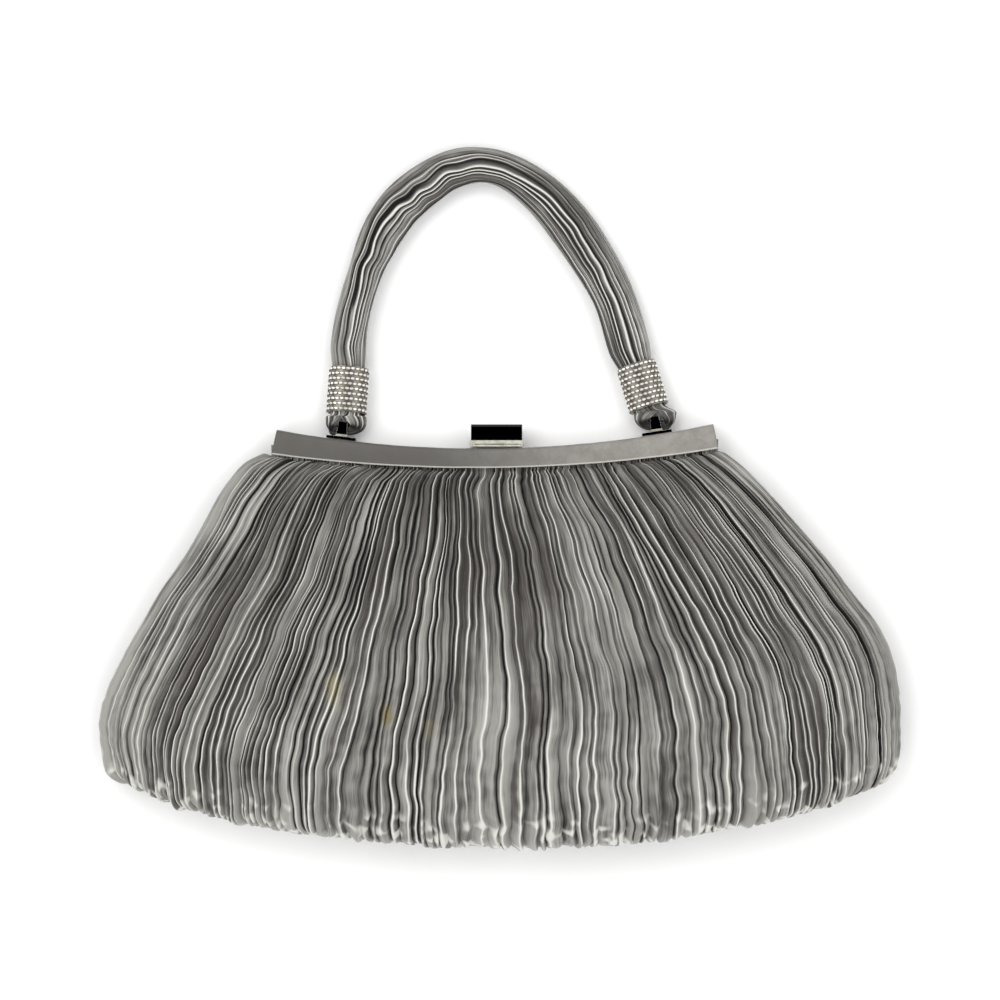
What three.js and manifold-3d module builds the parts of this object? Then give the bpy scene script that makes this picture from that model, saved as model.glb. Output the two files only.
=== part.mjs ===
// An accordion-pleated satin evening bag: a hollow pleated body hung from two covered frame bars,
// a flip clasp, and a pleated handle looped through two brackets and wrapped by two cuffs.
// It lies on its back, as it would on a table.
// Millimetres. +X points to the right of the front, +Y from the foot to the handle, +Z out of the front.
import * as THREE from "three";
import { mergeVertices } from "three/addons/utils/BufferGeometryUtils.js";
import Module from "manifold-3d";

const wasm = await Module();
wasm.setup();

// Clearance between pieces that touch
const fitGap = 0.3;

// Frame bars: two covered channels, face to face
const barLength = 167.6;
const barShift = -1.5;
const barEndLean = 2;
const barHeightMiddle = 7.4;
const barHeightEnd = 9.2;
const barSag = 8;
const barSkew = 1.1;
const barThickness = 6.35;
const barEdgeRound = 1.1;
const slotDepth = 4.2;
const slotEndWall = 2;

// Hinge pins at the bars' ends
const hingePinRadius = 1;
const hingePinLength = 5;
const hingePinInset = 0.5;
const hingeHeight = 3.2;

// Body: a pleated outer face over a smooth inner face
const bodyLength = 141.8;
const footHalfWidth = 148;
const footDrop = 40.7;
const footShift = 1.7;
const footEndAngle = 68;
const bodyRise = 31;
const foldHeight = 11;
const clothThickness = 1.2;
const pleatDepth = 1.8;
const wallUnderPleats = 1;
const pleatsPerSide = 50;

// Clasp: a lever hinged on the back bar, closing over a catch on the front bar
const claspWidth = 19.2;
const claspHeight = 9;
const claspShift = -0.9;
const claspFootHeight = 0.4;
const claspPlateThickness = 0.7;
const claspPlateProud = 0.4;
const claspFootInset = 0.8;
const leverRimHeight = 1.3;
const leverRimProud = 0.4;
const leverWall = 1.1;
const leverPinRadius = 0.5;
const leverBackClear = 4;
const leverCorner = 1;
const earThickness = 1.6;
const earHalfDepth = 1.2;
const catchWidth = 6;
const catchHeight = 3;
const catchThickness = 2;
const catchBehindFace = 3;

// Brackets: a strap of metal bent into a staple, one near each end of the back bar
const bracketInset = 24.3;
const bracketHeight = 6.8;
const bracketFootWidth = 11.4;
const bracketFootHeight = 1.1;
const bracketLegWidth = 4.4;
const bracketTopWidth = 3.2;
const bracketMetal = 0.8;
const bracketGap = 0.4;
const bracketBackZ = 0.5;
const bracketFootProud = 0.3;
const bracketLipHeight = 0.75;

// Handle: a flattened pleated tube between two cuffs, with a loop below each
const handleRise = 77;
const handleThickness = 11.5;
const handleWidth = 16.4;
const handleRibs = 10;
const handleRibDepth = 1.1;
const cuffLength = 17;
const cuffWidth = 15.6;
const cuffThickness = 12.6;
const cuffWall = 1.9;
const cuffRows = 9;
const cuffRowDepth = 0.5;
const cuffAboveBracket = 2.8;
const leftCuffLean = 4;
const leftCuffShift = 2;
const rightCuffLean = -17;
const rightCuffShift = -3;
const loopTubeWidth = 4;

const barHalf = barLength / 2;
const bracketSpread = barHalf - bracketInset;
const frameMiddleZ = barThickness + fitGap / 2;
const frameFrontZ = 2 * barThickness + fitGap;
const backSlotZ = barThickness / 2;
const frontSlotZ = frameFrontZ - barThickness / 2;
const slotWidth = clothThickness + 2 * fitGap;

// How far joined solids sink into each other, and how far a cut runs past what it cuts
const joinDepth = 0.1;
const cutPast = 1;

// How the wall bulges from the bar to the foot: front rises from the side fold, and back drops to the table.
// along: share of a pleat's length; front: share of bodyRise; back: share of the fold's height.
const bulgeRows = [
  { along: 0, front: 0, back: 0 },
  { along: 0.05, front: 0.26, back: 0.72 },
  { along: 0.13, front: 0.47, back: 1 },
  { along: 0.24, front: 0.68, back: 1 },
  { along: 0.38, front: 0.87, back: 1 },
  { along: 0.54, front: 0.98, back: 1 },
  { along: 0.7, front: 1, back: 1 },
  { along: 0.84, front: 0.9, back: 1 },
  { along: 0.925, front: 0.7, back: 0.93 },
  { along: 0.97, front: 0.46, back: 0.72 },
  { along: 0.993, front: 0.2, back: 0.4 },
  { along: 1, front: 0.05, back: 0.08 },
];

// The sides' outline. down: share of bodyLength below the bar; left and right: flare from the bar's end, 0,
// to the foot's half width, 1.
const sideRows = [
  { down: 0, left: 0.136, right: 0.124 },
  { down: 0.042, left: 0.221, right: 0.22 },
  { down: 0.084, left: 0.287, right: 0.307 },
  { down: 0.168, left: 0.39, right: 0.461 },
  { down: 0.252, left: 0.505, right: 0.607 },
  { down: 0.336, left: 0.644, right: 0.738 },
  { down: 0.42, left: 0.759, right: 0.874 },
  { down: 0.505, left: 0.874, right: 0.956 },
  { down: 0.589, left: 0.969, right: 0.985 },
  { down: 0.673, left: 1.02, right: 0.995 },
  { down: 0.757, left: 0.995, right: 0.99 },
  { down: 0.804, left: 0.955, right: 0.945 },
];

// How tall the pleats stand across the body: a few long waves of taller and shorter bunches
const bunchWaves = [
  { waves: 5, size: 0.16, start: 0.4 },
  { waves: 12, size: 0.14, start: 1.9 },
  { waves: 29, size: 0.12, start: 0.7 },
];

// The handle's line and width. across: share of the bracket spread; up: share of handleRise above the cuffs;
// width: share of handleWidth; thick: share of handleThickness.
const handleRows = [
  { across: -0.958, up: 0.036, width: 0.78, thick: 0.94 },
  { across: -0.955, up: 0.095, width: 0.8, thick: 0.96 },
  { across: -0.939, up: 0.211, width: 0.775, thick: 1 },
  { across: -0.904, up: 0.328, width: 0.775, thick: 1 },
  { across: -0.86, up: 0.445, width: 0.76, thick: 1 },
  { across: -0.807, up: 0.562, width: 0.84, thick: 0.97 },
  { across: -0.731, up: 0.679, width: 0.94, thick: 0.93 },
  { across: -0.624, up: 0.796, width: 0.95, thick: 0.9 },
  { across: -0.523, up: 0.864, width: 0.96, thick: 0.9 },
  { across: -0.372, up: 0.949, width: 0.9, thick: 0.93 },
  { across: -0.22, up: 0.99, width: 0.83, thick: 0.98 },
  { across: -0.07, up: 0.993, width: 0.75, thick: 1 },
  { across: 0.082, up: 0.955, width: 0.76, thick: 1 },
  { across: 0.233, up: 0.879, width: 0.87, thick: 0.96 },
  { across: 0.347, up: 0.796, width: 0.93, thick: 0.92 },
  { across: 0.466, up: 0.679, width: 1, thick: 0.9 },
  { across: 0.57, up: 0.562, width: 0.98, thick: 0.9 },
  { across: 0.662, up: 0.445, width: 0.93, thick: 0.92 },
  { across: 0.734, up: 0.328, width: 0.92, thick: 0.94 },
  { across: 0.782, up: 0.211, width: 0.95, thick: 0.95 },
  { across: 0.826, up: 0.095, width: 0.95, thick: 0.96 },
  { across: 0.85, up: 0.036, width: 0.87, thick: 0.94 },
];

function radians(degrees) {
  return THREE.MathUtils.degToRad(degrees);
}

function mix(from, to, share) {
  return THREE.MathUtils.lerp(from, to, share);
}

function smooth(value, low, high) {
  return THREE.MathUtils.smoothstep(value, low, high);
}

// A geometry of points and triangles, turned so that its faces point out
function closedGeometry(points, faces) {
  let volume = 0;
  for (let f = 0; f < faces.length; f += 3) {
    const [a, b, c] = [points[faces[f]], points[faces[f + 1]], points[faces[f + 2]]];
    volume += a.dot(new THREE.Vector3().crossVectors(b, c));
  }
  if (volume < 0) faces.reverse();
  const geometry = new THREE.BufferGeometry().setFromPoints(points);
  geometry.setIndex(faces);
  return geometry;
}

// A closed solid through rings of points that all run the same way round, with flat ends
function loft(rings) {
  const size = rings[0].length;
  const points = rings.flat();
  const faces = [];
  for (let r = 0; r + 1 < rings.length; r++) {
    for (let k = 0; k < size; k++) {
      const a = r * size + k;
      const b = r * size + ((k + 1) % size);
      faces.push(a, b, b + size, a, b + size, a + size);
    }
  }
  const last = (rings.length - 1) * size;
  for (const [start, turn] of [[0, -1], [last, 1]]) {
    const centre = new THREE.Vector3();
    for (let k = 0; k < size; k++) centre.addScaledVector(points[start + k], 1 / size);
    const hub = points.push(centre) - 1;
    for (let k = 0; k < size; k++) {
      const here = start + k;
      const next = start + ((k + 1) % size);
      if (turn > 0) faces.push(hub, here, next);
      else faces.push(hub, next, here);
    }
  }
  return closedGeometry(points, faces);
}

function solid(geometry) {
  const bare = geometry.clone();
  bare.deleteAttribute("normal");
  bare.deleteAttribute("uv");
  const merged = mergeVertices(bare, 1e-4);
  const vertProperties = merged.attributes.position.array;
  const triVerts = new Uint32Array(merged.index.array);
  return new wasm.Manifold(new wasm.Mesh({ numProp: 3, vertProperties, triVerts }));
}

function geometryOf(body) {
  const mesh = body.getMesh();
  const geometry = new THREE.BufferGeometry();
  geometry.setAttribute("position", new THREE.BufferAttribute(mesh.vertProperties, 3));
  geometry.setIndex(new THREE.BufferAttribute(mesh.triVerts, 1));
  return geometry;
}

// A box given by its lowest and highest x, y and z
function boxSolid([x0, x1], [y0, y1], [z0, z1]) {
  const box = new THREE.BoxGeometry(x1 - x0, y1 - y0, z1 - z0);
  box.translate((x0 + x1) / 2, (y0 + y1) / 2, (z0 + z1) / 2);
  return solid(box);
}

// A cylinder along X between two x values
function rodSolid(radius, [x0, x1], y, z, sides = 16) {
  const rod = new THREE.CylinderGeometry(radius, radius, x1 - x0, sides);
  rod.rotateZ(radians(90));
  rod.translate((x0 + x1) / 2, y, z);
  return solid(rod);
}

// A prism along X of a shape drawn with its x as z and its y as y
function prismSolid(shape, [x0, x1]) {
  const prism = new THREE.ExtrudeGeometry(shape, { depth: x1 - x0, bevelEnabled: false, curveSegments: 4 });
  prism.rotateY(radians(-90));
  prism.translate(x1, 0, 0);
  return solid(prism);
}

// A place along the bars, from -1 at the left end to 1 at the right
function barShare(x) {
  return (x - barShift) / barHalf;
}

function barPlace(share) {
  return barShift + share * barHalf;
}

// The bars' lower edge is at y = 0 at its middle
function barTop(x) {
  const share = barShare(x);
  return barHeightMiddle + barSag * share ** 2 + barSkew * share;
}

function barHeight(x) {
  return mix(barHeightMiddle, barHeightEnd, barShare(x) ** 2);
}

function barBottom(x) {
  return barTop(x) - barHeight(x);
}

// The corners of a rounded rectangle from [0, 0] to [width, height]
function roundedRectangle(width, height, radius, steps) {
  const corners = [
    [radius, radius, 180],
    [width - radius, radius, 270],
    [width - radius, height - radius, 0],
    [radius, height - radius, 90],
  ];
  return corners.flatMap(([x, y, start]) =>
    Array.from({ length: steps + 1 }, (_, i) => {
      const angle = radians(start + (90 * i) / steps);
      return [x + radius * Math.cos(angle), y + radius * Math.sin(angle)];
    }),
  );
}

const barStations = 14;
const barCornerSteps = 2;

function barSolid(backZ) {
  const rings = [];
  for (let i = 0; i <= barStations; i++) {
    const x = barPlace(mix(-1, 1, i / barStations));
    const height = barHeight(x);
    const outline = roundedRectangle(barThickness, height, barEdgeRound, barCornerSteps);
    rings.push(
      outline.map(([z, y]) => {
        const leaned = x - barShare(x) * barEndLean * (y / height);
        return new THREE.Vector3(leaned, barBottom(x) + y, backZ + z);
      }),
    );
  }
  return solid(loft(rings));
}

// The channel that takes the cloth's edge, open below
function slotSolid(middleZ) {
  const slotHalf = barHalf - slotEndWall;
  const rings = [];
  for (let i = 0; i <= barStations; i++) {
    const x = barShift + slotHalf * mix(-1, 1, i / barStations);
    const low = barBottom(x) - cutPast;
    const high = barBottom(x) + slotDepth;
    const near = middleZ - slotWidth / 2;
    const far = middleZ + slotWidth / 2;
    const corners = [[low, near], [high, near], [high, far], [low, far]];
    rings.push(corners.map(([y, z]) => new THREE.Vector3(x, y, z)));
  }
  return solid(loft(rings));
}

function hingePlace(side) {
  const x = barPlace(side);
  return { x, y: barBottom(x) + hingeHeight, z: frameMiddleZ };
}

function alongX(a, b) {
  return [Math.min(a, b), Math.max(a, b)];
}

function hingeBore(side) {
  const { x, y, z } = hingePlace(side);
  const inner = x - side * (hingePinInset + barEndLean + hingePinLength + fitGap);
  return rodSolid(hingePinRadius + fitGap, alongX(inner, x + side * cutPast), y, z);
}

// A plain rod in the bars' ends
function hingePin(side) {
  const { x, y, z } = hingePlace(side);
  const outer = x - side * (hingePinInset + barEndLean);
  return geometryOf(rodSolid(hingePinRadius, alongX(outer - side * hingePinLength, outer), y, z));
}

function frameBar(backZ, slotZ) {
  const cut = barSolid(backZ).subtract(slotSolid(slotZ));
  return geometryOf(cut.subtract(hingeBore(-1)).subtract(hingeBore(1)));
}

// The body's plan: pleat lines fan from the bar to the foot, between the two side outlines
const belowBar = 1.2;
const footCurve = new THREE.EllipseCurve(
  footShift,
  footDrop - bodyLength,
  footHalfWidth,
  footDrop,
  radians(-90 - footEndAngle),
  radians(-90 + footEndAngle),
);

function mouthPoint(s) {
  const x = barPlace(s);
  return new THREE.Vector2(x, barBottom(x) - belowBar);
}

function sideCurve(side, column) {
  const points = sideRows.map((row) => {
    const flare = row[column];
    const x = mix(barPlace(side), side * footHalfWidth + footShift, flare);
    return new THREE.Vector2(x, -row.down * bodyLength);
  });
  return new THREE.SplineCurve([mouthPoint(side), ...points, footCurve.getPoint((side + 1) / 2)]);
}

const leftCurve = sideCurve(-1, "left");
const rightCurve = sideCurve(1, "right");

function planPoint(s, t) {
  const across = (s + 1) / 2;
  const point = leftCurve.getPointAt(t).multiplyScalar(1 - across);
  point.addScaledVector(rightCurve.getPointAt(t), across);
  point.addScaledVector(mouthPoint(s), 1 - t);
  point.addScaledVector(footCurve.getPointAt(across), t);
  point.addScaledVector(mouthPoint(-1), -(1 - across) * (1 - t));
  point.addScaledVector(mouthPoint(1), -across * (1 - t));
  point.addScaledVector(footCurve.getPoint(0), -(1 - across) * t);
  point.addScaledVector(footCurve.getPoint(1), -across * t);
  return point;
}

// Where a pleat lies across the body: closer together towards the sides, where the wall turns away
const sideCrowding = 0.3;
function acrossShare(q) {
  return mix(q, Math.sin((q * Math.PI) / 2), sideCrowding);
}

// The wall's height over its side fold, across the body: level in the bars' slots, domed below them
const slotSideRoom = 1.7;
const slotShare = 1 - (slotEndWall + slotSideRoom) / barHalf;
const domePower = 2.2;
const flatPower = 8;
const domeFrom = 0.25;

function levelProfile(s) {
  const pastSlot = (Math.abs(s) - slotShare) / (1 - slotShare);
  return pastSlot < 0 ? 1 : Math.cos((pastSlot * Math.PI) / 2);
}

function profile(s, t, power) {
  const dome = Math.max(0, 1 - Math.abs(s) ** power) ** 0.5;
  return mix(levelProfile(s), dome, smooth(t, 0, domeFrom));
}

const slotRise = frontSlotZ + clothThickness / 2 - frameMiddleZ;
const foldSettles = 0.2;
const pressedHeight = pleatDepth / 4;
const leastLift = 0.4;
const pleatsOpen = 0.12;

// A point of the wall, level with the middle of its pleats, or inset from it
function wallPoint(q, facing, row, inset) {
  const t = row.along;
  const s = acrossShare(q);
  const plan = planPoint(s, t);
  plan.x *= 1 - inset / footHalfWidth;
  if (plan.y < 0) plan.y *= 1 - inset / bodyLength;
  const fold = mix(frameMiddleZ, foldHeight, smooth(t, 0, foldSettles));
  if (facing > 0) {
    const rise = t === 0 ? slotRise : row.front * bodyRise;
    const lift = Math.max(rise * profile(s, t, domePower) - inset, leastLift * profile(s, t, domePower));
    return new THREE.Vector3(plan.x, plan.y, fold + lift);
  }
  const drop = t === 0 ? slotRise : row.back * (fold - pressedHeight);
  const fall = Math.max(drop * profile(s, t, flatPower) - inset, leastLift * profile(s, t, flatPower));
  return new THREE.Vector3(plan.x, plan.y, fold - fall);
}

// The wall's rim, up inside the bars' slots, and tucked under them at the sides
function rimPoint(q, facing, inset) {
  const s = acrossShare(q);
  const point = wallPoint(q, facing, bulgeRows[0], inset);
  const inSlot = slotDepth - 2 * fitGap;
  point.y = barBottom(barPlace(s)) + (Math.abs(s) < slotShare ? inSlot : -fitGap - clothThickness / 4);
  return point;
}

// One ring of wall points: the front from left to right, then the back from right to left
function wallRing(columns, pointAt) {
  const half = columns / 2;
  return Array.from({ length: columns }, (_, k) => {
    const facing = k < half ? 1 : -1;
    const q = facing > 0 ? mix(-1, 1, k / half) : mix(1, -1, (k - half) / half);
    return pointAt(q, facing, k);
  });
}

function pleatHeight(q, t, k) {
  const bunch = bunchWaves.reduce((sum, w) => sum + w.size * Math.sin(w.waves * q * Math.PI + w.start), 1);
  const opening = smooth(t, 0, pleatsOpen);
  const ridge = k % 2 === 0 ? 1 : -1;
  return ((ridge * pleatDepth) / 2) * opening * Math.min(1, bunch);
}

// The rings moved out to the ridges and in to the valleys of the pleats, and down no further than the table
function pleated(rings) {
  const columns = rings[0].length;
  return rings.map((ring, r) =>
    ring.map((point, k) => {
      if (r < 2) return point;
      const row = bulgeRows[r - 1];
      const next = ring[(k + 1) % columns];
      const previous = ring[(k - 1 + columns) % columns];
      const lower = rings[Math.min(r + 1, rings.length - 1)][k];
      const upper = rings[r - 1][k];
      const around = new THREE.Vector3().subVectors(next, previous);
      const down = new THREE.Vector3().subVectors(lower, upper);
      const out = around.cross(down).normalize().negate();
      const q = mix(-1, 1, k / (columns / 2));
      const moved = point.clone().addScaledVector(out, pleatHeight(q, row.along, k));
      moved.z = Math.max(moved.z, 0);
      return moved;
    }),
  );
}

// Joins the wall's rings, and closes the last ring front to back as the foot's seam
function wallFaces(rings, start) {
  const columns = rings[0].length;
  const faces = [];
  for (let r = 0; r + 1 < rings.length; r++) {
    for (let k = 0; k < columns; k++) {
      const a = start + r * columns + k;
      const b = start + r * columns + ((k + 1) % columns);
      faces.push(a, b, b + columns, a, b + columns, a + columns);
    }
  }
  const last = start + (rings.length - 1) * columns;
  for (let k = 0; k < columns / 2; k++) {
    const [front, frontNext] = [last + k, last + k + 1];
    const [back, backNext] = [last + ((columns - k) % columns), last + columns - k - 1];
    if (k > 0) faces.push(front, frontNext, back);
    if (k < columns / 2 - 1) faces.push(frontNext, backNext, back);
  }
  return faces;
}

// The columns of the outer face that the inner face follows: every fifth, and all of those near a side fold
function innerPicks(columns) {
  const columnsPerInner = 5;
  const nearFold = 4;
  const half = columns / 2;
  return Array.from({ length: columns }, (_, k) => k).filter((k) => {
    const fromFold = Math.min(k % half, half - (k % half));
    return fromFold <= nearFold || k % columnsPerInner === 0;
  });
}

function bodyShell() {
  const outerColumns = 4 * pleatsPerSide;
  const picks = innerPicks(outerColumns);
  const picked = (ring) => picks.map((k) => ring[k]);
  const insetAt = (t) => mix(clothThickness, pleatDepth / 2 + wallUnderPleats, smooth(t, 0, pleatsOpen));
  const base = [wallRing(outerColumns, (q, facing) => rimPoint(q, facing, 0))];
  const inner = [picked(wallRing(outerColumns, (q, facing) => rimPoint(q, facing, clothThickness)))];
  for (const row of bulgeRows) {
    base.push(wallRing(outerColumns, (q, facing) => wallPoint(q, facing, row, 0)));
    const inset = insetAt(row.along);
    inner.push(picked(wallRing(outerColumns, (q, facing) => wallPoint(q, facing, row, inset))));
  }
  const outer = pleated(base);
  const innerStart = outer.length * outerColumns;
  const faces = wallFaces(outer, 0);
  faces.push(...wallFaces(inner, innerStart).reverse());
  picks.forEach((first, i) => {
    const here = innerStart + i;
    const next = innerStart + ((i + 1) % picks.length);
    const last = picks[i + 1] ?? outerColumns;
    for (let k = first; k < last; k++) faces.push(here, (k + 1) % outerColumns, k);
    faces.push(here, next, last % outerColumns);
  });
  return closedGeometry([...outer.flat(), ...inner.flat()], faces);
}

// Heights in the clasp, from the bars' top edge below it
const claspBottom = barTop(claspShift) + fitGap;
const plateBottom = claspBottom + claspFootHeight;
const plateTop = plateBottom + claspPlateThickness;
const leverBottom = plateTop + fitGap;
const leverTop = barTop(claspShift) + claspHeight;
const claspHalf = claspWidth / 2;
const leverPinZ = barThickness - earHalfDepth - joinDepth / 2;
const leverBackRadius = leverPinZ - fitGap;
const leverPinY = leverTop - leverBackRadius;
const leverFrontZ = frameFrontZ - claspPlateProud - leverRimProud;
const earOuter = claspHalf - leverWall - fitGap;
const earInner = earOuter - earThickness;

// A plate raised on a narrower foot, on one bar
function claspPlate(backZ, frontZ) {
  const plateHalf = claspHalf + claspPlateProud;
  const footHalf = claspHalf - claspFootInset;
  const footRange = [backZ + claspFootInset, frontZ - claspFootInset];
  const foot = boxSolid([-footHalf, footHalf], [claspBottom, plateTop], footRange);
  return foot.add(boxSolid([-plateHalf, plateHalf], [plateBottom, plateTop], [backZ, frontZ]));
}

// The back bar's plate carries two ears and the lever's pin
function claspBase() {
  let base = claspPlate(claspPlateProud, barThickness);
  for (const side of [-1, 1]) {
    const [x0, x1] = side < 0 ? [-earOuter, -earInner] : [earInner, earOuter];
    const ear = boxSolid(
      [x0, x1],
      [plateBottom + joinDepth, leverPinY],
      [leverPinZ - earHalfDepth, leverPinZ + earHalfDepth],
    );
    base = base.add(ear).add(rodSolid(earHalfDepth, [x0, x1], leverPinY, leverPinZ));
  }
  const pinRange = [-earOuter + joinDepth, earOuter - joinDepth];
  return geometryOf(base.add(rodSolid(leverPinRadius, pinRange, leverPinY, leverPinZ, 10)));
}

function claspCatch() {
  const back = frameMiddleZ + fitGap / 2;
  const front = frameFrontZ - claspPlateProud;
  const lug = boxSolid(
    [-catchWidth / 2, catchWidth / 2],
    [plateBottom + joinDepth, plateTop + catchHeight],
    [front - catchBehindFace - catchThickness / 2, front - catchBehindFace + catchThickness / 2],
  );
  return geometryOf(claspPlate(back, front).add(lug));
}

// A cap with a rounded back, which turns about its pin, and a proud rim along its lower front
function claspLever() {
  const outline = new THREE.Shape();
  const knuckle = leverPinY - leverBottom;
  outline.moveTo(leverPinZ, leverBottom);
  outline.lineTo(leverFrontZ, leverBottom);
  outline.lineTo(leverFrontZ, leverTop - leverCorner);
  outline.absarc(leverFrontZ - leverCorner, leverTop - leverCorner, leverCorner, 0, Math.PI / 2);
  outline.absarc(leverPinZ, leverPinY, leverBackRadius, Math.PI / 2, Math.PI - radians(leverBackClear));
  outline.absarc(leverPinZ, leverPinY, knuckle, Math.PI, 1.5 * Math.PI);
  const body = prismSolid(outline, [-claspHalf, claspHalf]);
  const rim = boxSolid(
    [-claspHalf - leverRimProud, claspHalf + leverRimProud],
    [leverBottom, leverBottom + leverRimHeight],
    [leverPinZ + knuckle, leverFrontZ + leverRimProud],
  );
  const pocketHalf = earInner - fitGap - leverWall;
  const pocket = boxSolid(
    [-pocketHalf, pocketHalf],
    [leverBottom - cutPast, leverTop - leverWall],
    [leverPinZ + earHalfDepth + fitGap, leverFrontZ - leverWall],
  );
  let lever = body.add(rim).subtract(pocket);
  for (const side of [-1, 1]) {
    const near = side * (earInner - fitGap);
    const far = side * (earOuter + fitGap);
    const notch = boxSolid(
      [Math.min(near, far), Math.max(near, far)],
      [leverBottom - cutPast, leverPinY + earHalfDepth + fitGap],
      [leverPinZ - leverBackRadius - cutPast, leverPinZ + earHalfDepth + fitGap],
    );
    lever = lever.subtract(notch);
  }
  const bore = rodSolid(leverPinRadius + fitGap, [-earInner, earInner], leverPinY, leverPinZ, 12);
  return geometryOf(lever.subtract(bore));
}

const bracketFrontZ = barThickness - bracketFootProud / 2;
const bracketTop = bracketGap + bracketHeight;
const cuffStandOff = bracketTop + cuffAboveBracket;

function barSlope(x) {
  return (2 * barSag * barShare(x) + barSkew) / barHalf;
}

// A staple on the back bar: two legs front and back, a bridge over them, a foot plate, and a lip before its foot
function bracket(x) {
  const leg = (z0) => {
    const shape = new THREE.Shape();
    shape.moveTo(-bracketLegWidth / 2, 0);
    shape.lineTo(bracketLegWidth / 2, 0);
    shape.lineTo(bracketTopWidth / 2, bracketHeight);
    shape.lineTo(-bracketTopWidth / 2, bracketHeight);
    const plate = new THREE.ExtrudeGeometry(shape, { depth: bracketMetal, bevelEnabled: false });
    plate.translate(0, 0, z0);
    return solid(plate);
  };
  const bridge = boxSolid(
    [-bracketTopWidth / 2, bracketTopWidth / 2],
    [bracketHeight - bracketMetal, bracketHeight],
    [bracketBackZ, bracketFrontZ],
  );
  const foot = boxSolid(
    [-bracketFootWidth / 2, bracketFootWidth / 2],
    [0, bracketFootHeight],
    [bracketBackZ - bracketFootProud, bracketFrontZ + bracketFootProud],
  );
  const lip = boxSolid(
    [-bracketLegWidth / 2, bracketLegWidth / 2],
    [bracketFootHeight - joinDepth, bracketFootHeight + bracketLipHeight],
    [bracketFrontZ - bracketMetal / 2, bracketFrontZ + bracketFootProud],
  );
  const staple = leg(bracketBackZ).add(leg(bracketFrontZ - bracketMetal)).add(bridge).add(foot).add(lip);
  const geometry = geometryOf(staple);
  geometry.rotateZ(Math.atan(barSlope(x)));
  return geometry.translate(x, barTop(x) + bracketGap, 0);
}

// Each cuff's own axis: from below it, above its bracket, up along its lean
function cuffAxis(side) {
  const lean = radians(side < 0 ? leftCuffLean : rightCuffLean);
  const up = new THREE.Vector3(Math.sin(lean), Math.cos(lean), 0);
  const x = side * bracketSpread;
  const shift = side < 0 ? leftCuffShift : rightCuffShift;
  const foot = new THREE.Vector3(x + shift, barTop(x) + cuffStandOff, cuffThickness / 2);
  return { foot, up, across: new THREE.Vector3(up.y, -up.x, 0) };
}

function cuffPoint(side, along, sideways, height) {
  const { foot, up, across } = cuffAxis(side);
  return foot.clone().addScaledVector(up, along).addScaledVector(across, sideways).setZ(foot.z + height);
}

// A tube section between round and square
function sectionPoint(angle, halfWidth, halfHeight, squareness) {
  const bend = (value) => Math.sign(value) * Math.abs(value) ** squareness;
  return [halfWidth * bend(Math.cos(angle)), halfHeight * bend(Math.sin(angle))];
}

const cuffSides = 12;
const cuffSquareness = 0.85;

// A wrapped ring with one raised band for each row of stones
function cuff(side) {
  const rings = [];
  const ringAt = (along, halfWidth, halfHeight) =>
    Array.from({ length: cuffSides }, (_, k) => {
      const [w, h] = sectionPoint((2 * Math.PI * k) / cuffSides, halfWidth, halfHeight, cuffSquareness);
      return cuffPoint(side, along, w, h);
    });
  for (let i = 0; i <= 2 * cuffRows; i++) {
    const inset = i % 2 === 0 ? cuffRowDepth : 0;
    rings.push(ringAt((cuffLength * i) / (2 * cuffRows), cuffWidth / 2 - inset, cuffThickness / 2 - inset));
  }
  const bore = [-cutPast, cuffLength + cutPast].map((along) =>
    ringAt(along, cuffWidth / 2 - cuffWall, cuffThickness / 2 - cuffWall),
  );
  return geometryOf(solid(loft(rings)).subtract(solid(loft(bore))));
}

const handleHalfInCuff = cuffWidth / 2 - cuffWall - fitGap;
const handleRiseInCuff = cuffThickness / 2 - cuffWall - fitGap;
const loopTop = 0.45 * cuffLength;

// A ring of the handle, ribbed all round and pressed flat on the table
function handleRing(point, tangent, halfWidth, halfHeight, ribs) {
  const across = new THREE.Vector3(tangent.y, -tangent.x, 0).normalize();
  const sides = 2 * handleRibs;
  return Array.from({ length: sides }, (_, k) => {
    const rib = k % 2 === 0 ? 0 : ribs;
    const angle = (2 * Math.PI * k) / sides;
    const [w, h] = sectionPoint(angle, halfWidth - rib, halfHeight - rib, cuffSquareness);
    const placed = point.clone().addScaledVector(across, w);
    placed.z = Math.max(placed.z + h, 0);
    return placed;
  });
}

// The pleated strap, from inside the left cuff over to inside the right one
function handleStrap() {
  const startUp = loopTop + fitGap;
  const base = Math.min(barTop(-bracketSpread), barTop(bracketSpread)) + cuffStandOff + cuffLength;
  const rings = [];
  const inCuff = (side, along) => {
    const { up } = cuffAxis(side);
    const tangent = up.clone().multiplyScalar(-side);
    rings.push(handleRing(cuffPoint(side, along, 0, 0), tangent, handleHalfInCuff, handleRiseInCuff, 0));
  };
  inCuff(-1, startUp);
  inCuff(-1, cuffLength + fitGap);
  const line = new THREE.CatmullRomCurve3([
    cuffPoint(-1, cuffLength, 0, 0),
    ...handleRows.map(
      ({ across, up }) =>
        new THREE.Vector3(across * bracketSpread, base + up * handleRise, cuffThickness / 2),
    ),
    cuffPoint(1, cuffLength, 0, 0),
  ]);
  handleRows.forEach((row, i) => {
    const u = (i + 1) / (handleRows.length + 1);
    const middle = line.getPoint(u);
    const halfWidth = (row.width * handleWidth) / 2;
    const halfHeight = (row.thick * handleThickness) / 2;
    middle.z = halfHeight;
    rings.push(handleRing(middle, line.getTangent(u), halfWidth, halfHeight, handleRibDepth));
  });
  inCuff(1, cuffLength + fitGap);
  inCuff(1, startUp);
  return loft(rings);
}

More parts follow.
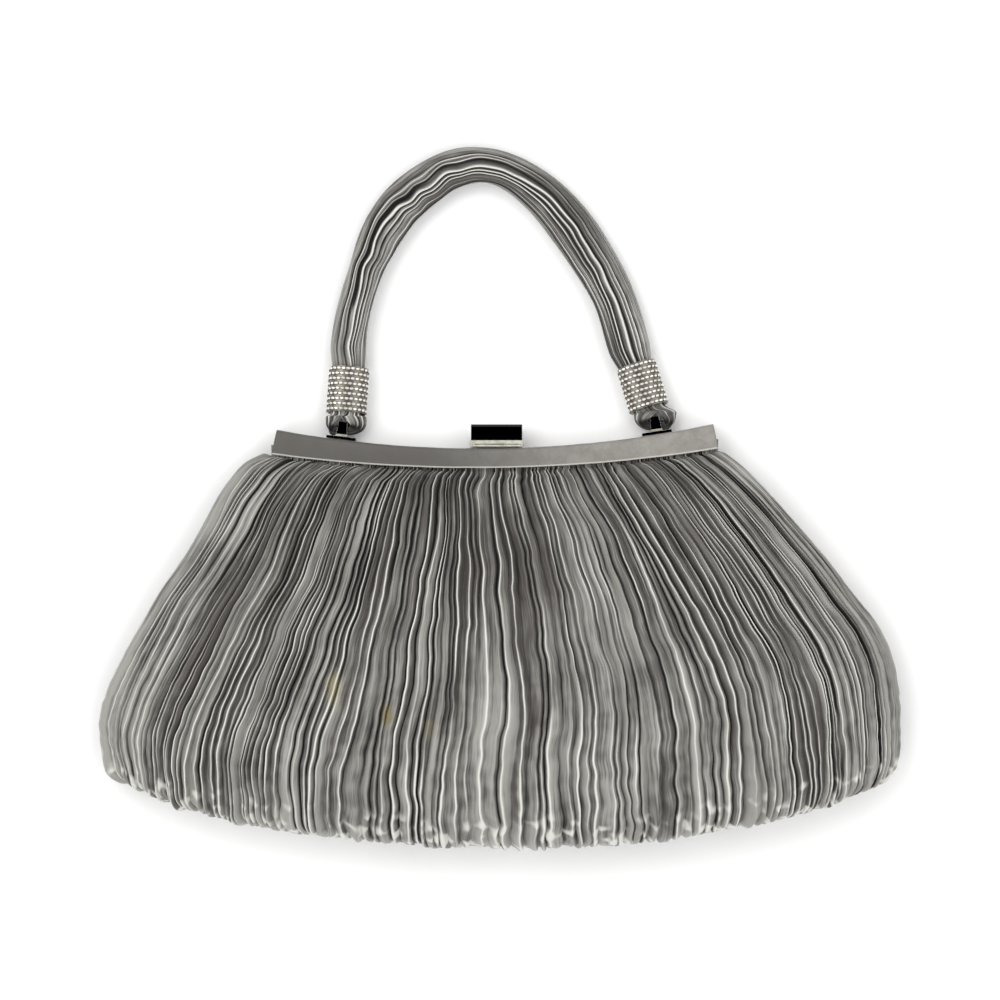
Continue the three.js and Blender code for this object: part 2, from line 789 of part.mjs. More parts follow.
// The loop below a cuff: down one side of the bracket, through its eye, and up the other side.
// up: 0 at the eye's middle, 1 at the bracket's top, 2 at the cuff's foot, 3 at the loop's end in the cuff.
// sideways: share of the way out to where the tube clears the bracket or, in the cuff, meets its bore.
// width: share of loopTubeWidth; thick: 0 as in the eye, 1 as in the cuff; outward: where its width points.
const loopHalfRows = [
  { up: 3, sideways: 0.84, width: 1, thick: 0.7, outward: 0 },
  { up: 2, sideways: 0.84, width: 1, thick: 0.7, outward: 0 },
  { up: 1.25, sideways: 1, width: 1, thick: 0.76, outward: 0 },
  { up: 0.6, sideways: 1.08, width: 1, thick: 0.66, outward: -8 },
  { up: 0.12, sideways: 0.96, width: 0.95, thick: 0.3, outward: -35 },
  { up: 0, sideways: 0.6, width: 0.88, thick: 0.02, outward: -72 },
  { up: 0, sideways: 0, width: 0.86, thick: 0, outward: -90 },
];
const loopSides = 10;
const loopBesideBracket = bracketLegWidth / 2 + fitGap + loopTubeWidth / 2;
const loopInsideCuff = handleHalfInCuff - loopTubeWidth / 2;
const loopInEye = (bracketFrontZ - bracketBackZ) / 2 - bracketMetal - fitGap;
const eyeMiddleY = bracketGap + bracketHeight / 2;
const eyeMiddleZ = (bracketBackZ + bracketFrontZ) / 2;

// The middle of the loop's tube at a row, and how far its width is turned from there
function loopPlace(side, { up, sideways }, way) {
  if (up >= 2) {
    const { up: cuffUp } = cuffAxis(side);
    const place = cuffPoint(side, (up - 2) * loopTop, way * sideways * loopInsideCuff, 0);
    return { place, turn: -Math.atan2(cuffUp.x, cuffUp.y) };
  }
  const x = side * bracketSpread;
  const y = up < 1 ? mix(eyeMiddleY, bracketTop, up) : mix(bracketTop, cuffStandOff, up - 1);
  const z = mix(eyeMiddleZ, cuffThickness / 2, smooth(up, 0, 2));
  return { place: new THREE.Vector3(x + way * sideways * loopBesideBracket, barTop(x) + y, z), turn: 0 };
}

function loopRing(side, row, way) {
  const { place, turn } = loopPlace(side, row, way);
  const angle = radians(way > 0 ? row.outward : 180 - row.outward) + turn;
  const out = new THREE.Vector3(Math.cos(angle), Math.sin(angle), 0);
  const halfWidth = (row.width * loopTubeWidth) / 2;
  const halfHeight = mix(loopInEye, handleRiseInCuff, row.thick);
  return Array.from({ length: loopSides }, (_, k) => {
    const round = (2 * Math.PI * k) / loopSides;
    const [w, h] = sectionPoint(round, halfWidth, halfHeight, cuffSquareness);
    const point = place.clone().addScaledVector(out, w);
    return point.setZ(Math.max(point.z + h, 0));
  });
}

function handleLoop(side) {
  const down = loopHalfRows.map((row) => loopRing(side, row, -1));
  const back = loopHalfRows.slice(0, -1).reverse().map((row) => loopRing(side, row, 1));
  return loft([...down, ...back]);
}

const satin = { color: 0x8f8c86, roughness: 0.42, metalness: 0 };
const coveredBar = { color: 0x8b8983, roughness: 0.5, metalness: 0 };
const chrome = { color: 0xc8c8c8, roughness: 0.08, metalness: 1 };
const stones = { color: 0xd8d5cc, roughness: 0.15, metalness: 0.4 };

const bag = new THREE.Group();

function place(name, geometry, finish, x = 0) {
  const mesh = new THREE.Mesh(geometry, new THREE.MeshStandardMaterial(finish));
  mesh.name = name;
  mesh.position.x = x;
  bag.add(mesh);
}

place("bag_body", bodyShell(), satin);
place("frame_bar_back", frameBar(0, backSlotZ), coveredBar);
place("frame_bar_front", frameBar(barThickness + fitGap, frontSlotZ), coveredBar);
place("clasp_base", claspBase(), chrome, claspShift);
place("clasp_catch", claspCatch(), chrome, claspShift);
place("clasp_lever", claspLever(), chrome, claspShift);
place("handle_strap", handleStrap(), satin);
for (const [side, word] of [[-1, "left"], [1, "right"]]) {
  place(`hinge_pin_${word}`, hingePin(side), chrome);
  place(`handle_bracket_${word}`, bracket(side * bracketSpread), chrome);
  place(`handle_loop_${word}`, handleLoop(side), satin);
  place(`cuff_${word}`, cuff(side), stones);
}

// The origin is on the table, under the middle of the bag's outline
const outlineBox = new THREE.Box3().setFromObject(bag);
const centre = outlineBox.getCenter(new THREE.Vector3());
bag.position.set(-centre.x, -centre.y, -outlineBox.min.z);

const accordionBag = new THREE.Group();
accordionBag.add(bag);
export default accordionBag;
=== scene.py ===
# An accordion-pleated satin evening bag lying on its back: the looks of every surface, around its frame.
# Made in millimetres, with y = 0 at the lower edge of the bars' middle, and placed in the frame's metres.
import math

import bmesh
import bpy
import numpy as np
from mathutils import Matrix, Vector


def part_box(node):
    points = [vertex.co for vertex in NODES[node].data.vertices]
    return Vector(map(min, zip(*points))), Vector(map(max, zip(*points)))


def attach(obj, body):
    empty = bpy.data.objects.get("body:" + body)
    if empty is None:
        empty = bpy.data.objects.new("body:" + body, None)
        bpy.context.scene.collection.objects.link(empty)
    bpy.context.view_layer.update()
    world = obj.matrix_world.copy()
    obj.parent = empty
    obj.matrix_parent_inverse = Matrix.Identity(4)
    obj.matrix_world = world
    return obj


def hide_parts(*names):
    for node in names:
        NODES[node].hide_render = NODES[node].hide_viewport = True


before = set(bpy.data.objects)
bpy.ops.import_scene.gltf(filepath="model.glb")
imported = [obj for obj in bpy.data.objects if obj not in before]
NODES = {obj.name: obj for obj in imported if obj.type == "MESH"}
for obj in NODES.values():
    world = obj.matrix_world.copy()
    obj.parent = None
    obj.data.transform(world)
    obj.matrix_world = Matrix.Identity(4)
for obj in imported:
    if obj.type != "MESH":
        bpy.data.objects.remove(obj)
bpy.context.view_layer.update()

MM = 0.001


# Places taken from the frame

def box_mm(node):
    low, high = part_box(node)
    return np.array(low) / MM, np.array(high) / MM


front_low, front_high = box_mm("frame_bar_front")
back_low, back_high = box_mm("frame_bar_back")
BAR_HALF = (front_high[0] - front_low[0]) / 2
BAR_THICKNESS = front_high[2] - front_low[2]
FRAME_MIDDLE_Z = (front_low[2] + back_high[2]) / 2
FRONT_SLOT_Z = front_high[2] - BAR_THICKNESS / 2
BACK_SLOT_Z = back_low[2] + BAR_THICKNESS / 2

# Sizes of the modelled form, in millimetres
BAR_HEIGHT_MIDDLE = 7.4
BAR_HEIGHT_END = 9.2
BAR_SAG = 8
BAR_SKEW = 1.1
BAR_SHIFT = -1.5
BAR_END_LEAN = 2
SLOT_WIDTH = 1.8
SLOT_DEPTH = 4.2
SLOT_CLEARANCE = 0.6
BELOW_BAR = 1.2
BODY_LENGTH = 141.8
FOOT_HALF_WIDTH = 148
FOOT_DROP = 40.7
FOOT_SHIFT = 1.7
FOOT_END_ANGLE = 68
BODY_RISE = 31
FOLD_HEIGHT = 11
BRACKET_SPREAD = BAR_HALF - 24.3
FIT_GAP = 0.3


def smoothstep(value, low, high):
    share = np.clip((value - low) / (high - low), 0, 1)
    return share * share * (3 - 2 * share)


def mix(a, b, share):
    return a + (b - a) * share


def bar_share(x):
    return (x - BAR_SHIFT) / BAR_HALF


def bar_place(share):
    return BAR_SHIFT + share * BAR_HALF


def bar_top(x):
    share = bar_share(x)
    return BAR_HEIGHT_MIDDLE + BAR_SAG * share**2 + BAR_SKEW * share


def bar_height(x):
    return mix(BAR_HEIGHT_MIDDLE, BAR_HEIGHT_END, bar_share(x) ** 2)


def bar_bottom(x):
    return bar_top(x) - bar_height(x)


lowest_bar_point = bar_bottom(bar_place(np.linspace(-1, 1, 400))).min()
OFFSET = np.array([(front_low[0] + front_high[0]) / 2 - BAR_SHIFT, front_low[1] - lowest_bar_point, 0])


# Smooth random fields

def spline_weights(f):
    return (
        (1 - f) ** 3 / 6,
        (3 * f**3 - 6 * f**2 + 4) / 6,
        (-3 * f**3 + 3 * f**2 + 3 * f + 1) / 6,
        f**3 / 6,
    )


def field(seed, u, v, cells_u, cells_v):
    """A smooth random field over u and v from 0 to 1, mostly within -1 and 1."""
    knots = np.random.default_rng(seed).uniform(-1.8, 1.8, (cells_u + 4, cells_v + 4))
    x = np.clip(u, 0, 1) * cells_u
    y = np.clip(v, 0, 1) * cells_v
    i = np.minimum(x.astype(int), cells_u - 1)
    j = np.minimum(y.astype(int), cells_v - 1)
    total = 0
    for a, wa in enumerate(spline_weights(x - i)):
        for b, wb in enumerate(spline_weights(y - j)):
            total = total + wa * wb * knots[i + a, j + b]
    return total


# Tables, and smooth curves through their rows

def table(columns, rows):
    """Rows as dicts, by their columns' names."""
    return [dict(zip(columns.split(), row)) for row in rows]


def column(rows, name):
    return np.array([row[name] for row in rows], float)


def curve_through(rows, name, places):
    """A column's smooth values along a table's rows, level at any row that is a peak or a step."""
    at = column(rows, "along")
    values = column(rows, name)
    steps = np.diff(at)
    slopes = np.diff(values) / steps
    bends = np.zeros(len(at))
    rising = slopes[:-1] * slopes[1:] > 0
    bends[1:-1][rising] = 2 * slopes[:-1][rising] * slopes[1:][rising] / (slopes[:-1] + slopes[1:])[rising]
    bends[0], bends[-1] = slopes[0], slopes[-1]
    k = np.clip(np.searchsorted(at, places, side="right") - 1, 0, len(steps) - 1)
    f = (places - at[k]) / steps[k]
    here, there = values[k], values[k + 1]
    leave, arrive = bends[k] * steps[k], bends[k + 1] * steps[k]
    return (
        here * (2 * f**3 - 3 * f**2 + 1)
        + leave * (f**3 - 2 * f**2 + f)
        + there * (3 * f**2 - 2 * f**3)
        + arrive * (f**3 - f**2)
    )


def spline_at(rows, places):
    """Catmull-Rom values between the rows of an array, at fractional row numbers."""
    rows = np.asarray(rows, float)
    padded = np.vstack([rows[:1], rows, rows[-1:]])
    k = np.clip(np.floor(places).astype(int), 0, len(rows) - 2)
    f = (places - k)[:, None]
    a, b, c, d = (padded[k + i] for i in range(4))
    v0, v1 = (c - a) / 2, (d - b) / 2
    return (2 * b - 2 * c + v0 + v1) * f**3 + (-3 * b + 3 * c - 2 * v0 - v1) * f**2 + v0 * f + b


def lengths_along(points):
    """How far along a line each of its points lies."""
    return np.concatenate([[0], np.cumsum(np.linalg.norm(np.diff(points, axis=0), axis=1))])


# The body's plan and its bulge

# down: share of BODY_LENGTH; left and right: flare from the bar's end, 0, to the foot's half width, 1
SIDE_ROWS = table("down left right", [
    (0, 0.136, 0.124),
    (0.042, 0.221, 0.22),
    (0.084, 0.287, 0.307),
    (0.168, 0.39, 0.461),
    (0.252, 0.505, 0.607),
    (0.336, 0.644, 0.738),
    (0.42, 0.759, 0.874),
    (0.505, 0.874, 0.956),
    (0.589, 0.969, 0.985),
    (0.673, 1.02, 0.995),
    (0.757, 0.995, 0.99),
    (0.804, 0.955, 0.945),
])

# along: share of a pleat's length; front: share of BODY_RISE; back: share of the way down to the table
BULGE_ROWS = table("along front back", [
    (0, 0.115, 0.35),
    (0.05, 0.26, 0.72),
    (0.13, 0.47, 1),
    (0.24, 0.68, 1),
    (0.38, 0.87, 1),
    (0.54, 0.98, 1),
    (0.7, 1, 1),
    (0.84, 0.9, 1),
    (0.925, 0.7, 0.93),
    (0.97, 0.46, 0.72),
    (0.993, 0.2, 0.4),
    (1, 0, 0),
])
SIDE_STEPS = 40
SIDE_CROWDING = 0.3
DOME_POWER = 2.2
FLAT_POWER = 8
DOME_FROM = 0.25
SLOT_SHARE = 0.955
FOLD_SETTLES = 0.2
PRESSED_HEIGHT = 0.45


def mouth_point(s):
    x = bar_place(s)
    return np.stack([x, bar_bottom(x) - BELOW_BAR], axis=-1)


def foot_point(across):
    angle = np.radians(-90 + FOOT_END_ANGLE * (2 * across - 1))
    x = FOOT_SHIFT + FOOT_HALF_WIDTH * np.cos(angle)
    y = FOOT_DROP - BODY_LENGTH + FOOT_DROP * np.sin(angle)
    return np.stack([x, y], axis=-1)


def side_samples(side, name):
    """Points down one side's edge, with each one's share of its length."""
    x = mix(bar_place(side), side * FOOT_HALF_WIDTH + FOOT_SHIFT, column(SIDE_ROWS, name))
    y = -column(SIDE_ROWS, "down") * BODY_LENGTH
    ends = mouth_point(np.array(side)), foot_point(np.array((side + 1) / 2))
    rows = [ends[0], *np.stack([x, y], axis=-1), ends[1]]
    samples = spline_at(rows, np.linspace(0, len(rows) - 1, SIDE_STEPS * (len(rows) - 1) + 1))
    lengths = lengths_along(samples)
    return samples, lengths / lengths[-1]


left_side = side_samples(-1, "left")
right_side = side_samples(1, "right")


def along_side(samples, t):
    points, shares = samples
    return np.stack([np.interp(t, shares, points[:, 0]), np.interp(t, shares, points[:, 1])], axis=-1)


def plan_point(s, t):
    """The wall's plan, filled in between its two sides, its mouth and its foot."""
    across = (s + 1) / 2
    down = t[..., None]
    point = mouth_point(s) * (1 - down) + foot_point(across) * down
    for side, samples, share in ((-1, left_side, 1 - across), (1, right_side, across)):
        corner = mouth_point(np.array(side)) * (1 - down) + foot_point(np.array((side + 1) / 2)) * down
        point = point + share[..., None] * (along_side(samples, t) - corner)
    return point


def profile(s, t, power):
    """The wall's height across, as a share of its middle's: level at the bar, and a dome further down."""
    past = np.clip((np.abs(s) - SLOT_SHARE) / (1 - SLOT_SHARE), 0, 1)
    dome = np.sqrt(np.clip(1 - np.abs(s) ** power, 0, 1))
    return mix(np.cos(past * np.pi / 2), dome, smoothstep(t, 0, DOME_FROM))


def wall_point(q, t, facing):
    """The cloth's middle surface: q from -1 to 1 across, t from 0 at the bar to 1 at the foot."""
    s = mix(q, np.sin(q * np.pi / 2), SIDE_CROWDING)
    plan = plan_point(s, t)
    fold = mix(FRAME_MIDDLE_Z, FOLD_HEIGHT, smoothstep(t, 0, FOLD_SETTLES))
    if facing > 0:
        lift = curve_through(BULGE_ROWS, "front", t) * BODY_RISE * profile(s, t, DOME_POWER)
    else:
        drop = curve_through(BULGE_ROWS, "back", t)
        lift = -drop * (fold - PRESSED_HEIGHT) * profile(s, t, FLAT_POWER)
    return np.concatenate([plan, (fold + lift)[..., None]], axis=-1)


def wall_normal(q, t, facing):
    step = 0.004
    q0, q1 = np.clip(q - step, -1, 1), np.clip(q + step, -1, 1)
    t0, t1 = np.clip(t - step, 0, 1), np.clip(t + step, 0, 1)
    around = wall_point(q1, t, facing) - wall_point(q0, t, facing)
    down = wall_point(q, t1, facing) - wall_point(q, t0, facing)
    normal = np.cross(down, around) * facing
    return normal / np.maximum(np.linalg.norm(normal, axis=-1, keepdims=True), 1e-9)


# Meshes

def add_object(name, data):
    made = bpy.data.objects.new(name, data)
    bpy.context.scene.collection.objects.link(made)
    return made


def make_mesh(name, points, faces, material, attributes=None):
    """A piece from points in millimetres; attributes are values for each point."""
    mesh = bpy.data.meshes.new(name)
    faces = np.asarray(faces, np.int32)
    sides = faces.shape[1]
    mesh.vertices.add(len(points))
    placed = ((np.asarray(points, float) + OFFSET) * MM).astype(np.float32)
    mesh.vertices.foreach_set("co", placed.ravel())
    mesh.loops.add(faces.size)
    mesh.loops.foreach_set("vertex_index", faces.ravel())
    mesh.polygons.add(len(faces))
    mesh.polygons.foreach_set("loop_start", np.arange(0, faces.size, sides, dtype=np.int32))
    mesh.update(calc_edges=True)
    mesh.polygons.foreach_set("use_smooth", np.ones(len(faces), bool))
    for key, values in (attributes or {}).items():
        layer = mesh.attributes.new(key, "FLOAT", "POINT")
        layer.data.foreach_set("value", np.asarray(values, np.float32).ravel())
    mesh.materials.append(material)
    return add_object(name, mesh)


def grid_faces(rows, columns, wrap=False, flip=False):
    """Quads over a grid of points, joined round on itself when wrap is set."""
    last = columns if wrap else columns - 1
    r, c = np.meshgrid(np.arange(rows - 1), np.arange(last), indexing="ij")
    a = r * columns + c
    b = r * columns + (c + 1) % columns
    quads = np.stack([a, b, b + columns, a + columns], axis=-1).reshape(-1, 4)
    return quads[:, ::-1] if flip else quads


# Materials

class Maker:
    """Adds nodes to one material or sky and links them."""

    def __init__(self, tree):
        self.tree = tree

    def put(self, value, socket):
        if isinstance(value, bpy.types.NodeSocket):
            self.tree.links.new(value, socket)
        else:
            socket.default_value = value

    def fill(self, node, values):
        for key, value in values.items():
            self.put(value, node.inputs[key])

    def surface(self, values):
        self.fill(self.tree.nodes["Principled BSDF"], values)

    def node(self, kind, values, **settings):
        made = self.tree.nodes.new(kind)
        for key, value in settings.items():
            setattr(made, key, value)
        self.fill(made, values)
        return made

    def attribute(self, name):
        return self.node("ShaderNodeAttribute", {}, attribute_name=name).outputs["Fac"]

    def place(self):
        return self.node("ShaderNodeTexCoord", {}).outputs["Object"]

    def axes(self, vector):
        return self.node("ShaderNodeSeparateXYZ", {"Vector": vector}).outputs

    def noise(self, vector, scale, detail=2.0, roughness=0.5):
        values = {"Vector": vector, "Scale": scale, "Detail": detail, "Roughness": roughness}
        return self.node("ShaderNodeTexNoise", values).outputs["Fac"]

    def ramp(self, value, low, high, to_low=0.0, to_high=1.0):
        values = {"Value": value, "From Min": low, "From Max": high, "To Min": to_low, "To Max": to_high}
        return self.node("ShaderNodeMapRange", values, interpolation_type="SMOOTHSTEP").outputs["Result"]

    def maths(self, operation, *parts):
        return self.node("ShaderNodeMath", dict(enumerate(parts)), operation=operation).outputs["Value"]

    def vectors(self, operation, *parts):
        return self.node("ShaderNodeVectorMath", dict(enumerate(parts)), operation=operation).outputs

    def blend(self, share, a, b):
        made = self.node("ShaderNodeMix", {}, data_type="RGBA")
        self.put(share, made.inputs["Factor"])
        colours = [socket for socket in made.inputs if socket.type == "RGBA"]
        self.put(a, colours[0])
        self.put(b, colours[1])
        return next(socket for socket in made.outputs if socket.type == "RGBA")

    def bump(self, height, strength, distance, **below):
        values = {"Height": height, "Strength": strength, "Distance": distance}
        return self.node("ShaderNodeBump", values | below).outputs["Normal"]


def new_material(name):
    material = bpy.data.materials.new(name)
    material.use_nodes = True
    return material, Maker(material.node_tree)


# Stains on the front, in pixels of the photograph: middle, size across and down, and colour
PIXEL_MM = 0.375
MIDDLE_PIXEL = (499, 468)
STAINS = table("x y wide tall strength colour", [
    (337, 684, 11, 24, 0.5, (0.4, 0.355, 0.2, 1)),
    (389, 712, 9, 18, 0.85, (0.2, 0.155, 0.065, 1)),
    (430, 725, 8, 14, 0.4, (0.33, 0.27, 0.17, 1)),
])


def stained(make, colour):
    for stain in STAINS:
        x = (stain["x"] - MIDDLE_PIXEL[0]) * PIXEL_MM + OFFSET[0]
        y = (MIDDLE_PIXEL[1] - stain["y"]) * PIXEL_MM + OFFSET[1]
        place = make.vectors("SUBTRACT", make.place(), (x * MM, y * MM, 0))[0]
        stretch = [1 / (stain[size] * PIXEL_MM * MM) for size in ("wide", "tall")]
        reach = make.vectors("LENGTH", make.vectors("MULTIPLY", place, (*stretch, 0))[0])["Value"]
        ragged = make.maths("ADD", reach, make.noise(make.place(), 220, 3))
        colour = make.blend(make.ramp(ragged, 0.7, 1.5, stain["strength"], 0), colour, stain["colour"])
    return colour


SATIN_DARK = (0.077, 0.069, 0.064, 1)
SATIN_LIGHT = (0.295, 0.29, 0.265, 1)
# Painted highlight for the crests, and painted shade for the valleys:
SATIN_CREST_HIGHLIGHT = (0.68, 0.675, 0.63, 1)
SATIN_VALLEY_SHADE = (0.012, 0.01, 0.009, 1)
# The bars' satin: painted shade for its left end, two tones of cloth, and a painted highlight for the
# piping:
BAR_LEFT_SHADE = (0.07, 0.065, 0.058, 1)
BAR_DULL = (0.225, 0.208, 0.19, 1)
BAR_LIGHT = (0.295, 0.288, 0.262, 1)
BAR_PIPING_HIGHLIGHT = (0.62, 0.6, 0.55, 1)
CHROME_COLOUR = (0.86, 0.86, 0.85, 1)
SETTING_COLOUR = (0.24, 0.22, 0.185, 1)
STONE_CLEAR = (0.95, 0.94, 0.92, 1)
STONE_SMOKY = (0.7, 0.69, 0.62, 1)
# Painted cream highlights for the metal rims, and painted shade for the lever's top edge:
RIM_HIGHLIGHT_DULL = (0.44, 0.42, 0.33, 1)
RIM_HIGHLIGHT_BRIGHT = (0.66, 0.65, 0.56, 1)
LEVER_SHADE = (0.035, 0.035, 0.04, 1)


def pleated_satin(name, with_stains):
    """Warm grey satin, with painted highlights along its folds' crests and painted shade in their valleys.
    """
    material, make = new_material(name)
    place = make.place()
    patches = make.noise(place, 26, 3)
    cloth = {"X": make.attribute("across"), "Y": make.attribute("along")}
    streak = make.noise(make.node("ShaderNodeCombineXYZ", cloth).outputs["Vector"], 1, 2)
    face = make.maths("ADD", make.attribute("tone"), make.ramp(patches, 0.3, 0.7, -0.2, 0.2))
    face = make.maths("ADD", face, make.ramp(streak, 0.3, 0.7, -0.3, 0.3))
    colour = make.blend(make.ramp(face, 0, 1), SATIN_DARK, SATIN_LIGHT)
    # Painted shade in the valleys, as dark as each valley is deep.
    colour = make.blend(make.ramp(make.attribute("shade"), 0.15, 0.75), colour, SATIN_VALLEY_SHADE)
    # Painted highlight along the crests.
    colour = make.blend(make.ramp(make.attribute("crest"), 0.1, 0.9), colour, SATIN_CREST_HIGHLIGHT)
    if with_stains:
        colour = stained(make, colour)
    normal = make.bump(streak, 0.35, 0.0004)
    normal = make.bump(make.noise(place, 420, 3, 0.6), 0.25, 0.0004, Normal=normal)
    normal = make.bump(make.noise(place, 5200, 1), 0.1, 0.00006, Normal=normal)
    roughness = make.ramp(patches, 0.2, 0.8, 0.34, 0.44)
    make.surface({"Base Color": colour, "Normal": normal, "Roughness": roughness})
    make.surface({"Specular IOR Level": 0.55, "Sheen Weight": 0.12, "Sheen Roughness": 0.4})
    return material


def smooth_satin():
    """The bars' covering: flat satin, cloudy and finely woven, with painted shade that dims it towards its
    left end.
    """
    material, make = new_material("smooth_satin")
    place = make.place()
    clouds = make.noise(place, 190, 5, 0.7)
    colour = make.blend(make.ramp(clouds, 0.3, 0.7), BAR_DULL, BAR_LIGHT)
    end_x = BAR_HALF * MM
    # Painted shade: the satin dims towards the bar's left end, where it turns from the light.
    left_end_shade = make.ramp(make.axes(place)["X"], -0.45 * end_x, 0.65 * end_x, 0.88, 0)
    colour = make.blend(left_end_shade, colour, BAR_LEFT_SHADE)
    # Painted highlight along the piping cord at the bar's lower edge.
    colour = make.blend(make.ramp(make.attribute("piping"), 0.3, 1, 0, 0.62), colour, BAR_PIPING_HIGHLIGHT)
    weave = make.noise(place, 3800, 2)
    normal = make.bump(make.noise(place, 160, 3), 0.2, 0.0005)
    normal = make.bump(weave, 0.18, 0.00008, Normal=normal)
    roughness = make.ramp(weave, 0.3, 0.7, 0.42, 0.54)
    make.surface({"Base Color": colour, "Normal": normal, "Roughness": roughness})
    make.surface({"Specular IOR Level": 0.4, "Sheen Weight": 0.1})
    return material


def in_rim(make, rim):
    """1 inside a rim, which is a box in millimetres that may slope along X, and 0 outside it."""
    place = make.axes(make.place())
    middle = {key: rim[key] * MM for key in "xyz"}
    rise = make.maths("MULTIPLY", make.maths("SUBTRACT", place["X"], middle["x"]), rim["slope"])
    level = make.maths("SUBTRACT", place["Y"], rise)
    inside = make.maths("COMPARE", place["X"], middle["x"], rim["half"] * MM)
    inside = make.maths("MULTIPLY", inside, make.maths("COMPARE", level, middle["y"], rim["tall"] * MM / 2))
    return make.maths("MULTIPLY", inside, make.maths("COMPARE", place["Z"], middle["z"], rim["deep"] * MM))


def polished_metal(name, colour, low, high, rims=(), corner=None):
    """Plated metal with faint marks, painted cream highlights on its rims, and painted shade on one corner.
    """
    material, make = new_material(name)
    marks = make.noise(make.place(), 900, 4, 0.7)
    values = {"Metallic": 1, "Roughness": make.ramp(marks, 0.35, 0.75, low, high)}
    wear_and_highlight = tuple(0.92 * part for part in colour[:3]) + (1,)
    colour = make.blend(make.ramp(marks, 0.4, 0.7), colour, wear_and_highlight)
    # Painted shade, standing for a dark reflection, on the lever's top edge.
    if corner:
        colour = make.blend(in_rim(make, corner), colour, LEVER_SHADE)
    # Painted cream highlights on the rims, mottled from dull to bright.
    if rims:
        rim_highlight = 0.0
        for rim in rims:
            rim_highlight = make.maths("MAXIMUM", in_rim(make, rim), rim_highlight)
        highlight_mottle = make.noise(make.place(), 420, 3, 0.6)
        colour = make.blend(rim_highlight, colour, make.blend(make.ramp(highlight_mottle, 0.3, 0.7), RIM_HIGHLIGHT_DULL, RIM_HIGHLIGHT_BRIGHT))
        values["Roughness"] = make.ramp(rim_highlight, 0, 1, values["Roughness"], 0.34)
        values["Metallic"] = make.ramp(rim_highlight, 0, 1, 1, 0.35)
    make.surface(values | {"Base Color": colour})
    return material


LEVER_CORNER = 1.4
LEVER_RIM = 1.3
CLASP_PLATE = 0.7
BRACKET_GAP = 0.4
BRACKET_FOOT = 1.1
BRACKET_LIP = 0.75
BRACKET_LEG_WIDTH = 4.4
CLASP_REACH = 15
LEVER_DEPTH = 4
PLATE_DEPTH = 1.2
LIP_DEPTH = 0.2


def metal_areas():
    """Where highlights are painted, the rims at the lever's and the brackets' feet, and where shade is
    painted, the lever's top edge, which shows black.
    """
    low, high = box_mm("clasp_lever")
    lever = dict(x=(low[0] + high[0]) / 2, z=high[2], half=CLASP_REACH, slope=0)
    start, end = low[1] - CLASP_PLATE - FIT_GAP, low[1] + LEVER_RIM
    rims = [dict(lever, y=(start + end) / 2, tall=end - start, deep=PLATE_DEPTH)]
    corner = dict(lever, y=high[1] - LEVER_CORNER / 2, tall=LEVER_CORNER + 0.1, deep=LEVER_DEPTH)
    for side, word in ((-1, "left"), (1, "right")):
        x = side * BRACKET_SPREAD
        y = bar_top(x) + BRACKET_GAP + BRACKET_FOOT + BRACKET_LIP / 2
        rims.append(dict(
            x=x + OFFSET[0], y=y + OFFSET[1], z=box_mm(f"handle_bracket_{word}")[1][2],
            half=BRACKET_LEG_WIDTH / 2 + 0.4, tall=BRACKET_LIP + 0.04, deep=LIP_DEPTH,
            slope=(2 * BAR_SAG * bar_share(x) + BAR_SKEW) / BAR_HALF,
        ))
    return rims, corner


def stone_material():
    """Foil-backed glass stones: bright facets with a slight tint from stone to stone."""
    material, make = new_material("stones")
    tint = make.ramp(make.noise(make.place(), 330, 1), 0.35, 0.7)
    colour = make.blend(tint, STONE_CLEAR, STONE_SMOKY)
    make.surface({"Base Color": colour, "Metallic": 0.25, "Roughness": 0.16, "Coat Weight": 0.5})
    return material


BODY_SATIN = pleated_satin("pleated_satin_body", True)
HANDLE_SATIN = pleated_satin("pleated_satin_handle", False)
BAR_SATIN = smooth_satin()
CHROME = polished_metal("polished_metal", CHROME_COLOUR, 0.02, 0.06, *metal_areas())
SETTING = polished_metal("stone_setting", SETTING_COLOUR, 0.3, 0.45)
STONES = stone_material()


# Pleats

SAMPLES = 8
# Places across one pleat, as shares of its left or right face from the valley there
LEFT_PLACES = (0, 0.15, 0.6)
RIGHT_PLACES = (0.6, 0.15)
# How deep each of those places lies, from 0 at the crest to 1 at the valley
DEPTHS = {0: 1, 0.15: 0.66, 0.6: 0.26}
# The shallowest valley's height, where a crest's is about 1, and how much lower a deep one lies
VALLEY_HEIGHT = -0.35
VALLEY_DROP = 1.25
VALLEY_REACH = 0.15
CREST_DROP = 0.12
# Painted highlight across a crest's three places, and how much lighter and dimmer a pleat's two faces are
# painted by its ridge's lean:
CREST_HIGHLIGHT = (0.4, 1, 0.4)
FACE_LEAN_SHADE = 0.12
FACE_CREASE = 0.3
DRIFT_REACH = 9


def pleat_samples(valley, ridge, next_valley, crest_half):
    """Places across each pleat, in all rows, and each one's distance to the nearer valley."""
    left = ridge - crest_half - valley
    right = next_valley - ridge - crest_half
    places = [valley + share * left for share in LEFT_PLACES]
    places += [ridge - crest_half, ridge, ridge + crest_half]
    places += [next_valley - share * right for share in RIGHT_PLACES]
    places = np.stack(places, axis=-1)
    return places, np.minimum(places - valley[..., None], next_valley[..., None] - places)


